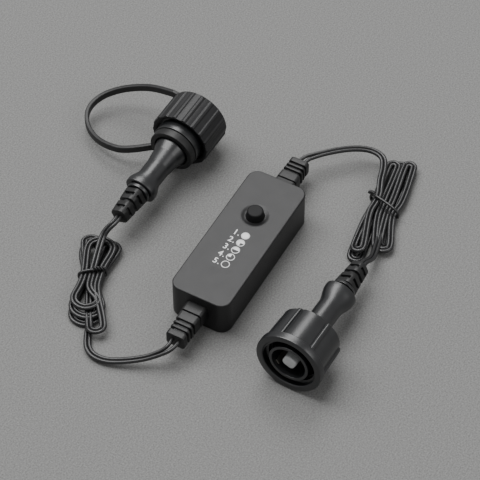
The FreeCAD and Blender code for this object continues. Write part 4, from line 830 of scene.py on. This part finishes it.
class DIMMER_OT_button(PieceOperator, bpy.types.Operator):
    """Make the button's key and the dish round it"""

    bl_idname = "dimmer.button"
    bl_label = "Button"

    def make(self, sizes):
        """Turn the key and the dish about the button's upright axis.

        The dish rises from its hole to its rim by depth (1 - cos(pi s)) / 2 over the share s.
        """
        case = sizes.case
        low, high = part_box("button_key")
        wide = (high[0] - low[0]) / 2
        base = case.key_base / 2
        face = case.height
        top = face + case.key_rise
        seat = face - case.recess_depth
        over = seat - case.flange_depth
        under = over - case.flange
        key = softened((
            (low[2], 0.0, 0), (low[2], case.stem, 0.2 * MM), (under, case.stem, 0),
            (under, wide, 0.1 * MM), (over, wide, 0.1 * MM), (over, base, 0),
            (seat + 0.4 * MM, base, 0.3 * MM), (top, case.key_top / 2, 1.0 * MM),
            (top - 0.12 * MM, 0.0, 0)), steps=6)
        upright = Matrix.Translation(Vector((case.button_x, 0, 0))) @ Matrix.Rotation(-math.pi / 2, 4, "Y")
        make_piece("button", [revolved(key)], "black_silicone", "button", ("button_key",), upright)
        rim = case.recess / 2
        hole = base + 0.15 * MM
        floor = face - case.dish_depth + 0.02 * MM
        back = seat - 0.3 * MM
        share = np.concatenate(([0.0], np.linspace(0.1, 1, 12)))
        bowl = np.column_stack((floor + case.dish_depth * (1 - np.cos(math.pi * share)) / 2,
                                hole + (rim - hole) * share))
        dish = np.concatenate(([(back, hole)], bowl, [(back, rim)]))
        make_piece("button_dish", [washer(dish)], "textured_black_abs", "case", matrix=upright)


class DIMMER_OT_print(PieceOperator, bpy.types.Operator):
    """Print the five level marks and their numbers"""

    bl_idname = "dimmer.print_marks"
    bl_label = "Marks"

    def make(self, sizes):
        """Print a ring for each mark, the filled share of its disc, and its number."""
        marks = sizes.marks
        top = sizes.case.height
        outer = marks.disc / 2
        fills = ((0, 360), (0, 270), (0, 180), (90, 180), None)
        places = [marks.first_x - index * marks.pitch for index in range(len(fills))]
        discs = []
        for x, fill in zip(places, fills):
            discs.append(self.sector(x, top, marks, outer - marks.ring, outer, 0, 360))
            if fill:
                discs.append(self.sector(x, top, marks, 0.01 * MM, outer - marks.ring * 0.6, *fill))
        make_piece("level_discs", discs, "white_pad_print_ink", "case", sharp=30.0)
        for index, x in enumerate(places, 1):
            make_piece(f"number_{index}", [self.number(f"{index}.", x, top, marks)], "white_pad_print_ink",
                       "case", sharp=20.0)

    def sector(self, x, top, marks, inner, outer, start, end):
        """Thin plate between two radii and two turns, in reading directions: right is -Y, up is +X."""
        turn = np.radians(np.linspace(start, end, 48))[:, None]
        radius = np.array((inner, outer, outer, inner))
        height = top + marks.ink * np.array((-1, -1, 1, 1))
        plate = grid(x + radius * np.sin(turn), marks.mark_y - radius * np.cos(turn), height)
        return skin(plate, caps=end - start < 360)

    def number(self, text, x, top, marks):
        """Number in the plain font, laid in reading directions with its right end at the digits' place."""
        curve = bpy.data.curves.new("digit", "FONT")
        curve.body = text
        curve.size = marks.digit * 1.38
        curve.align_x = "CENTER"
        curve.align_y = "CENTER"
        curve.extrude = marks.ink
        curve.offset = 0.04 * MM
        curve.space_character = 1.12
        points, faces = traced(curve)
        low = points.min(axis=0)
        high = points.max(axis=0)
        right, up, out = (points - (high[0], (low[1] + high[1]) / 2, 0)).T
        return grid(x + up, marks.digit_y - right, top + out), faces


class DIMMER_OT_reliefs(PieceOperator, bpy.types.Operator):
    """Make the strain reliefs at both ends of the box"""

    bl_idname = "dimmer.reliefs"
    bl_label = "Strain reliefs"

    def make(self, sizes):
        """Put the same relief at the output's end and, turned about Z, at the input's end."""
        case = sizes.case
        parts = self.parts(case)
        out = Matrix.Translation(Vector((case.length / 2, 0, case.gland_z)))
        for end, turn in (("output", 0), ("input", math.pi)):
            make_piece(end + "_relief", parts, "soft_black_pvc", "case", (end + "_strain_relief",),
                       Matrix.Rotation(turn, 4, "Z") @ out)

    def parts(self, case):
        """Ribbed relief out of the +X wall: five blocks on a core, a neck in the wall, a plate behind it.

        Its section (width, height, corner) changes in a straight line from the wall to the end.
        """
        # Where the blocks start and end by turns, in millimetres from the wall
        marks = np.array((-1.0, 4.9, 5.4, 9.8, 11.0, 12.3, 13.4, 14.7, 15.8, 18.6)) * MM
        root = np.array((case.gland_root_width, case.gland_root_height, case.gland_corner))
        end = np.array((case.gland_end_width, case.gland_end_height, case.gland_corner))

        def section(x):
            """Section at a distance from the wall."""
            return root + (end - root) * max(0.0, x) / marks[-1]

        parts = [soft_block(first, last, section(first), section(last), 0.32 * MM)
                 for first, last in zip(marks[0::2], marks[1::2])]
        parts.append(soft_block(0, marks[-1] - 1 * MM, root * 0.74, end * 0.74, 0.1 * MM))
        plate = root + np.array((3.0, 3.0, -0.3)) * MM
        parts.append(soft_block(-4.1 * MM, -2.1 * MM, plate, plate, 0.2 * MM))
        parts.append(soft_block(-2.2 * MM, 0, root, root, 0.1 * MM))
        return parts


def tail_parts(shared, connector):
    """Winged rear of a connector's body, with the disc behind it, a step smaller, past a groove.

    Each station of the tail is an ellipse. Its half axes rise from the shaft's radius by a smooth step
    s, across, and by s^3, upwards. They hold over the rim, and go in by a quarter circle at its edge.
    """
    start = connector.flare
    end = connector.tail
    gone, left = quarter(shared.tail_edge, 6)
    share = np.linspace(0, 1, 21)[:, None]
    rise = np.concatenate((smooth_step(share), np.ones((6, 1))))
    inset = np.concatenate((np.zeros((21, 1)), gone))
    x = np.concatenate((start + (end - shared.tail_rim - start) * share, end - left))
    across = shared.shaft + (shared.tail_width - shared.shaft) * rise - inset
    upwards = shared.shaft + (shared.tail_height - shared.shaft) * rise ** 3 - inset
    turn = circle(72)
    tail = skin(grid(x, across * np.cos(turn), upwards * np.sin(turn)))
    inside = end - 1 * MM
    step = end + shared.tail_groove
    back = end + shared.tail_step
    disc = revolved(softened((
        (inside, 0, 0), (inside, shared.tail_neck, 0), (step, shared.tail_neck, 0),
        (step, shared.tail_disc, 0.15 * MM), (back, shared.tail_disc - 0.2 * MM, 0.35 * MM), (back, 0, 0))))
    return turned([tail], connector.wing_turn) + [disc]


def relief_parts(shared, connector):
    """Square strain relief: two slotted blocks, parted by a ring groove, on a tapered round core.

    Its width changes in a straight line from the root's to the end's.
    """
    start = connector.tail + shared.tail_step
    length = (shared.relief_length - shared.relief_gap - shared.groove) / 2
    first = start + shared.relief_gap
    core_start = start - 1 * MM
    core_end = core_start + shared.relief_length
    parts = [revolved(((core_start, 0), (core_start, 3.4 * MM), (core_end, 3.1 * MM), (core_end, 0)), 48)]
    for begin in (first, first + length + shared.groove):
        share = (np.array((begin, begin + length)) - start) / shared.relief_length
        widths = shared.relief_root + (shared.relief_end - shared.relief_root) * share
        parts.append(slotted_block(begin, begin + length, widths, shared))
    return turned(parts, connector.relief_turn)


def slotted_block(start, end, widths, shared):
    """Rounded square block with a slot across the middle of each face.

    Each station's outline is drawn in towards the axis: all round by the cut near the ends, and in the
    slot by its depth, within 36 degrees of each face's middle, fading over 2 degrees.
    """
    middle = (start + end) / 2
    half = (end - start) / 2
    edge = 0.35 * MM
    lip = 0.15 * MM
    slot = shared.slot
    # Distance from the middle, cut all round, depth in the slot
    stations = np.array((
        (half, edge, 0), (half - edge * 0.3, edge * 0.3, 0), (half - edge, 0, 0),
        (slot + lip, 0, 0), (slot, 0, lip), (slot, 0, shared.slot_depth)))
    away, cut, sunk = np.concatenate((stations * (-1, 1, 1), stations[::-1])).T[:, :, None]
    width = widths[0] + (widths[1] - widths[0]) * (away + half) / (end - start)
    y, z = rounded_rectangle(width, width, shared.relief_corner, 96)
    off_face = np.abs((np.arctan2(z, y) + math.pi / 4) % (math.pi / 2) - math.pi / 4)
    window = np.clip((math.radians(36) - off_face) / math.radians(2), 0, 1)
    scale = 1 - (cut + sunk * window) / np.hypot(y, z)
    return skin(grid(middle + away, y * scale, z * scale))


def thread(start, turns, radius, height, pitch, segments=64):
    """Helical ridge about X with a flat crest; a negative height points it inwards.

    After n turns it stands at x = start + pitch n. Its height grows over six steps at either end.
    """
    count = int(segments * turns)
    step = np.arange(count + 1)[:, None]
    gone = turns * step / count
    crest = radius + height * np.clip(np.minimum(step, count - step) / 6, 0.05, 1)
    foot = np.full_like(crest, radius - math.copysign(0.2 * MM, height))
    x = start + pitch * gone + np.array((-0.85, -0.45, 0.45, 0.85)) * MM
    return skin(about_x(x, np.hstack((foot, crest, crest, foot)), 2 * math.pi * gone))


def knurled(start, end, outline, inner, taper, edges, caps=False):
    """Tube along X whose outside follows an outline, the radius at each turn, and whose bore is plain.

    The outline shrinks by taper from start to end. A quarter circle cuts it at each end, edges large.
    inner carries on from the end as (x, radius) and joins the start, or ends at a pole with caps.
    """
    turn = circle(720)
    radius = outline(turn)
    loops = []
    for x, way, edge, less in ((start, 1, edges[0], 0.0), (end, -1, edges[1], taper)):
        gone, left = quarter(edge, 6)
        loops.append(about_x(x + way * gone, np.minimum(radius, radius.max() - left) - less, turn)[::way])
    x, bore = np.transpose(inner)[:, :, None]
    loops.append(about_x(x, bore, turn))
    if caps:
        loops.insert(0, about_x(start, 10 * POLE, turn)[None])
    else:
        loops.append(loops[0][:1])
    return skin(np.concatenate(loops), caps)


class DIMMER_OT_plug(PieceOperator, bpy.types.Operator):
    """Make the plug's body and strain relief"""

    bl_idname = "dimmer.plug"
    bl_label = "Plug"

    def make(self, sizes):
        """Turn the body's profile about its axis, and add its thread, winged tail and relief."""
        plug = sizes.plug
        shared = sizes.connectors
        collar_end = plug.collar_start + plug.collar_length
        shaft_end = plug.flare + 2 * MM
        outside = softened((
            (-plug.nose_length, plug.nose_bore, 0), (-plug.nose_length, plug.nose, 0.3 * MM),
            (plug.collar_start, plug.nose, 0), (plug.collar_start, plug.collar, 0.3 * MM),
            (collar_end, plug.collar, 0.35 * MM), (collar_end, plug.hub, 0),
            (8.2 * MM, plug.hub - 0.3 * MM, 0.6 * MM), (12.0 * MM, shared.shaft + 0.9 * MM, 4.0 * MM),
            (19 * MM, shared.shaft, 6 * MM), (shaft_end, shared.shaft, 0), (shaft_end, 0, 0)), steps=6)
        bore = ((plug.nose_floor, 0.0), (plug.nose_floor, plug.nose_bore),
                (-plug.nose_length, plug.nose_bore))
        turns = 2.6
        parts = [revolved(np.concatenate((outside, bore)), caps=False),
                 thread(-1.9 * MM - turns * shared.thread_pitch, turns, plug.nose, shared.thread_height,
                        shared.thread_pitch)]
        parts += tail_parts(shared, plug)
        matrix = connector_matrix(plug)
        make_piece("plug_moulding", parts, "satin_black_polypropylene", "case", ("plug_body",), matrix)
        make_piece("plug_relief", relief_parts(shared, plug), "soft_black_pvc", "case",
                   ("plug_strain_relief",), matrix)


class DIMMER_OT_cap(PieceOperator, bpy.types.Operator):
    """Make the protective cap"""

    bl_idname = "dimmer.cap"
    bl_label = "Cap"

    def make(self, sizes):
        """Make the ribbed barrel with its bore, the knob on its end and its inside thread."""
        plug = sizes.plug
        shared = sizes.connectors

        def outline(turn):
            """Narrow rounded ribs on a plain barrel: a smooth step down on either side of each rib."""
            pitch = 2 * math.pi / plug.cap_ribs
            off = np.abs((turn + pitch / 2) % pitch - pitch / 2) * plug.cap_radius
            fall = smooth_step(off, plug.cap_rib * 0.2, plug.cap_rib * 0.8)
            return plug.cap_radius - plug.cap_rib_height * fall

        end = -plug.cap_length
        floor = end + plug.cap_wall
        bore = ((-0.05 * MM, shared.bore + 1.1 * MM), (-0.6 * MM, shared.bore + 0.1 * MM),
                (-0.9 * MM, shared.bore), (floor, shared.bore), (floor, 10 * POLE))
        # Neck and head of the knob: x from the cap's end, radius and fillet in millimetres
        knob = np.array(((0.5, 0, 0), (0.5, 2.8, 0), (-2.4, 2.8, 0), (-2.4, 4.4, 0.2), (-3.6, 3.8, 0.4),
                         (-3.6, 0, 0))) * MM + (end, 0, 0)
        parts = [knurled(end, 0.0, outline, bore, 0.0, (1.2 * MM, 0.6 * MM), caps=True),
                 revolved(softened(knob), 64),
                 thread(-6.7 * MM, 1.6, shared.bore, -shared.thread_height, shared.thread_pitch)]
        make_piece("cap", parts, "matt_black_polypropylene", "cap", ("protective_cap",),
                   connector_matrix(plug))


class DIMMER_OT_strap(PieceOperator, bpy.types.Operator):
    """Make the cap's strap with its eyelet and its ring"""

    bl_idname = "dimmer.strap"
    bl_label = "Cap strap"

    def make(self, sizes):
        """Run the band from the eyelet's arm to the ring's tab, and make both ends."""
        plug = sizes.plug
        matrix = connector_matrix(plug)
        arm = self.on_rim(matrix, plug.eyelet_at, plug.arm_reach, plug.arm_turn)
        tab = self.on_rim(matrix, plug.ring_start + plug.ring_length * 0.74, plug.tab_reach, plug.tab_turn)
        route = [tuple(arm)] + list(STRAP_ROUTE) + [tuple(tab)]
        points, _ = spline_points("strap_line", route, 0.8 * MM)
        strap = make_piece("strap", [self.band(points, plug)], "soft_black_pvc", None, ("cap_strap",))
        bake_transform(strap)
        ring = washer(softened_ring(plug.ring_start, plug.ring_start + plug.ring_length, plug.ring_inner,
                                    plug.ring_outer, 0.4 * MM))
        parts = placed([ring], matrix) + [self.bar(tab, Vector(STRAP_ROUTE[-1]), 3.4 * MM, plug)]
        make_piece("strap_ring_tab", parts, "soft_black_pvc", "case", ("strap_ring",))
        half = plug.eyelet_length / 2
        eyelet = washer(softened_ring(plug.eyelet_at - half, plug.eyelet_at + half, plug.eyelet_bore,
                                      plug.eyelet, 0.3 * MM))
        section = np.array((2.0, 3.0, 0.5)) * MM
        spoke = soft_block(6.8 * MM, 14.6 * MM, section, section, 0.1 * MM)
        out = Matrix.Rotation(-plug.arm_turn, 4, "X") @ Matrix.Translation(Vector((plug.eyelet_at, 0, 0)))
        out = out @ Matrix.Rotation(-math.pi / 2, 4, "Z")
        parts = placed([eyelet], matrix) + placed([spoke], matrix @ out)
        parts.append(self.bar(arm, Vector(STRAP_ROUTE[0]), 2.6 * MM, plug))
        make_piece("cap_eyelet", parts, "soft_black_pvc", "cap_carrier", ("strap_eyelet",))

    def on_rim(self, matrix, x, reach, turn):
        """Point of the plug at x along its axis and a distance from it, turned up from its -Y side."""
        return matrix @ Vector((x, -reach * math.cos(turn), reach * math.sin(turn)))

    def band(self, points, plug):
        """Rounded flat band standing upright along a path: its section's y goes sideways, its z up."""
        tangent = np.gradient(points, axis=0)
        tangent[:, 2] = 0
        tangent = unit(tangent)
        side = np.column_stack((-tangent[:, 1], tangent[:, 0], np.zeros(len(points))))
        y, z = rounded_rectangle(plug.strap_width, plug.strap_height, plug.strap_corner, 32)
        return skin(points[:, None] + side[:, None] * y[:, None] + np.array((0.0, 0.0, 1.0)) * z[:, None])

    def bar(self, at, towards, length, plug):
        """Short level bar of the strap's section that ends where the strap begins."""
        heading = towards - at
        heading.z = 0
        heading.normalize()
        ends = [at + heading * reach for reach in (-length, -length / 2, 0.05 * MM)]
        return self.band(np.array(ends), plug)


class DIMMER_OT_socket(PieceOperator, bpy.types.Operator):
    """Make the socket's body, strain relief, stub and contact leaves"""

    bl_idname = "dimmer.socket"
    bl_label = "Socket"

    def make(self, sizes):
        """Turn the body's profile about its axis, add tail and relief, and fill the contact tube."""
        socket = sizes.socket
        shared = sizes.connectors
        front = socket.tube_front
        flange_end = socket.nut_length - socket.flange_back
        flange_start = flange_end - socket.flange_length
        bead = socket.nut_length + socket.bead_gap
        shaft_end = socket.flare + 2 * MM
        profile = softened((
            (socket.floor, 0, 0), (socket.floor, socket.tube_inner, 0), (front, socket.tube_inner, 0.3 * MM),
            (front, socket.tube_outer, 0.3 * MM), (flange_start, socket.tube_outer, 0),
            (flange_start, socket.flange, 0.2 * MM), (flange_end, socket.flange, 0.2 * MM),
            (flange_end, socket.neck, 0), (bead, socket.neck, 0), (bead, socket.bead, 0.2 * MM),
            (bead + 1.0 * MM, socket.neck, 0.2 * MM), (bead + 1.6 * MM, shared.shaft + 0.4 * MM, 1.5 * MM),
            (bead + 5 * MM, shared.shaft, 2 * MM), (shaft_end, shared.shaft, 0), (shaft_end, 0, 0)), steps=6)
        matrix = connector_matrix(socket)
        make_piece("socket_moulding", [revolved(profile)] + tail_parts(shared, socket),
                   "satin_black_polypropylene", "case", ("socket_body",), matrix)
        make_piece("socket_relief", relief_parts(shared, socket), "soft_black_pvc", "case",
                   ("socket_strain_relief",), matrix)
        square = np.array((2, 2, 0.62)) * socket.stub
        stub = soft_block(socket.stub_start, socket.stub_end, square, square, 0.7 * MM)
        make_piece("stub", turned([stub], socket.stub_turn), "pale_grey_nylon", "case", ("center_stub",),
                   matrix)
        section = np.array((2.4, 0.5, 0.12)) * MM
        leaf = soft_block(1.0 * MM, socket.floor, section, section, 0.1 * MM)
        to_wall = Matrix.Translation(Vector((0, socket.tube_inner - 0.45 * MM, 0)))
        leaves = []
        for turn in (socket.leaf_turn, socket.leaf_turn + math.pi):
            leaves += placed([leaf], Matrix.Rotation(turn, 4, "X") @ to_wall
                             @ Matrix.Rotation(math.pi / 2, 4, "X"))
        make_piece("socket_leaves", leaves, "tinned_brass", "case", ("socket_contacts",), matrix)


class DIMMER_OT_nut(PieceOperator, bpy.types.Operator):
    """Make the socket's coupling nut"""

    bl_idname = "dimmer.nut"
    bl_label = "Coupling nut"

    def make(self, sizes):
        """Make the lobed barrel with its front ring and bore, and its inside thread."""
        socket = sizes.socket
        shared = sizes.connectors

        def outline(turn):
            """Six broad lobes parted by narrow raised ridges between shallow flutes.

            Over the share s from a ridge to the lobe's middle, the lobe swells by sin(pi s / 2)^0.75.
            """
            pitch = math.pi / 3
            off = np.abs((turn - socket.nut_turn + pitch / 2) % pitch - pitch / 2)
            half = socket.ridge_width / 2 / socket.ridge
            swell = np.sin(np.clip(off / (pitch / 2), 0, 1) * math.pi / 2) ** 0.75
            bulge = socket.valley + (socket.lobe - socket.valley) * swell
            falls = np.cumsum((0, half * socket.ridge * 0.1, half * socket.ridge * 0.3, 1.6 * MM))
            ridge = np.interp(off, np.multiply((0, 0.6, 1.2, 1.6), half), socket.ridge - falls)
            return np.maximum(bulge, ridge)

        front = socket.nut_front
        ring = socket.nut_ring
        outer = socket.nut_radius
        chamber = socket.nut_length - socket.nut_back
        hole = socket.neck + 0.3 * MM
        # From the back through the bore, round the mouth, and over the front ring to its back face
        inner = ((socket.nut_length, hole), (chamber, hole), (chamber, shared.bore),
                 (front + 0.4 * MM, shared.bore), (front + 0.12 * MM, socket.nut_mouth),
                 (front, socket.nut_mouth + 0.12 * MM), (front, outer - 0.5 * MM),
                 (front + 0.15 * MM, outer - 0.15 * MM), (front + 0.5 * MM, outer), (ring - 0.3 * MM, outer),
                 (ring - 0.05 * MM, outer - 0.2 * MM), (ring, outer - 0.4 * MM),
                 (ring, socket.valley - 1.0 * MM))
        barrel = knurled(ring - 0.6 * MM, socket.nut_length, outline, inner, socket.taper,
                         (0.01 * MM, 1.3 * MM))
        inside = thread(front + 1.3 * MM, 2.4, shared.bore, -shared.thread_height, shared.thread_pitch)
        make_piece("nut", [barrel, inside], "satin_black_polypropylene", "nut", ("coupling_nut",),
                   connector_matrix(socket))


class DIMMER_OT_stage(PieceOperator, bpy.types.Operator):
    """Lay the floor and set the lights"""

    bl_idname = "dimmer.stage"
    bl_label = "Stage"

    def make(self, sizes):
        """Lay the floor, light the world evenly and hang three softboxes."""
        studio = sizes.studio
        self.floor(studio.floor)
        world = bpy.data.worlds.new("studio")
        world.use_nodes = True
        bpy.context.scene.world = world
        background = world.node_tree.nodes["Background"]
        background.inputs["Color"].default_value = linear(studio.world)
        background.inputs["Strength"].default_value = studio.world_light
        self.lamp("key", (0.0, 1.0, 2.3), 1.1, 2.3, 57.0)
        self.lamp("back", (1.5, 0.8, 2.3), 1.4, 1.4, 38.0)
        self.lamp("fill", (0.1, -1.6, 1.3), 1.0, 1.0, 8.0)

    def floor(self, code):
        """Square of grey backdrop paper, 5 m wide: matt, with a fine speckle.

        Real paper fibres are about 0.02 mm wide. The speckle is drawn 0.6 to 0.7 mm wide, so that it
        shows in the render.
        """
        material, tree, shader, coords = blank_material("grey_backdrop_paper")
        fibres = {"Vector": coords, "Detail": 3.0, "Roughness": 0.7}
        tint = add_node(tree, "ShaderNodeTexNoise", {**fibres, "Scale": 1.0 / (0.7 * MM)}).outputs["Fac"]
        height = add_node(tree, "ShaderNodeTexNoise", {**fibres, "Scale": 1.0 / (0.6 * MM)}).outputs["Fac"]
        ramp = add_node(tree, "ShaderNodeValToRGB", {"Fac": tint})
        base = linear(code)
        spread_colours(ramp, *([c * gain for c in base[:3]] + [1.0] for gain in (0.68, 1.32)))
        bump = add_node(tree, "ShaderNodeBump", {"Height": height, "Strength": 1.0, "Distance": 0.06 * MM})
        feed(tree, shader, {"Base Color": ramp.outputs["Color"], "Normal": bump.outputs["Normal"],
                            "Roughness": 0.9, "Specular IOR Level": 0.2})
        half = 2.5
        mesh = bpy.data.meshes.new("floor")
        mesh.from_pydata([(-half, -half, 0), (half, -half, 0), (half, half, 0), (-half, half, 0)], [],
                         [(0, 1, 2, 3)])
        mesh.materials.append(material)
        piece = bpy.data.objects.new("floor", mesh)
        bpy.context.scene.collection.objects.link(piece)

    def lamp(self, name, place, across, along, power):
        """White softbox that faces the origin, its size in metres and its power in watts."""
        light = bpy.data.lights.new(name, "AREA")
        light.shape = "RECTANGLE"
        light.size = across
        light.size_y = along
        light.energy = power
        lamp = bpy.data.objects.new(name, light)
        lamp.location = place
        lamp.rotation_euler = Vector(place).to_track_quat("Z", "Y").to_euler()
        bpy.context.scene.collection.objects.link(lamp)


class DIMMER_OT_cord_facts(PieceOperator, bpy.types.Operator):
    """Work out each cord's line again, once the pieces on it are made"""

    bl_idname = "dimmer.cord_facts"
    bl_label = "Cord facts"

    def make(self, sizes):
        """Work out both cords' lines again; nothing more is done with them."""
        for end, cord in CORDS.items():
            points, length = cord_line(end + "_line", cord, sizes)


class DimmerSettings(bpy.types.PropertyGroup):
    """All sizes, colours and settings of the dimmer"""

    colours: PointerProperty(type=FinishColours)
    case: PointerProperty(type=CaseSizes)
    marks: PointerProperty(type=PrintSizes)
    cords: PointerProperty(type=CordSizes)
    connectors: PointerProperty(type=ConnectorSizes)
    plug: PointerProperty(type=PlugSizes)
    socket: PointerProperty(type=SocketSizes)
    studio: PointerProperty(type=StudioSettings)


OPERATORS = (
    DIMMER_OT_finishes, DIMMER_OT_camera, DIMMER_OT_cords, DIMMER_OT_ties, DIMMER_OT_plug, DIMMER_OT_cap,
    DIMMER_OT_strap, DIMMER_OT_socket, DIMMER_OT_nut, DIMMER_OT_reliefs, DIMMER_OT_button, DIMMER_OT_print,
    DIMMER_OT_stage, DIMMER_OT_cord_facts,
)


class DIMMER_PT_panel(bpy.types.Panel):
    """Buttons that dress the dimmer"""

    bl_idname = "DIMMER_PT_panel"
    bl_label = "Dimmer"
    bl_space_type = "VIEW_3D"
    bl_region_type = "UI"
    bl_category = "Dimmer"

    def draw(self, context):
        """One button for each operator, in the order of making."""
        for operator in OPERATORS:
            self.layout.operator(operator.bl_idname)


GROUPS = (FinishColours, CaseSizes, PrintSizes, CordSizes, ConnectorSizes, PlugSizes, SocketSizes,
          StudioSettings, DimmerSettings)


def register():
    """Register every class and hang the settings on the scene."""
    for item in GROUPS + OPERATORS + (DIMMER_PT_panel,):
        bpy.utils.register_class(item)
    bpy.types.Scene.dimmer = PointerProperty(type=DimmerSettings)


def unregister():
    """Take the settings off the scene and unregister every class."""
    del bpy.types.Scene.dimmer
    for item in (DIMMER_PT_panel,) + OPERATORS[::-1] + GROUPS[::-1]:
        bpy.utils.unregister_class(item)


def corners(bounds):
    """A box's lowest and highest corner as plain lists."""
    return [[float(value) for value in corner] for corner in bounds]


def main():
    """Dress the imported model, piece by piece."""
    register()
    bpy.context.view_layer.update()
    for operator in OPERATORS:
        group, name = operator.bl_idname.split(".")
        getattr(getattr(bpy.ops, group), name)()


if __name__ == "__main__":
    main()
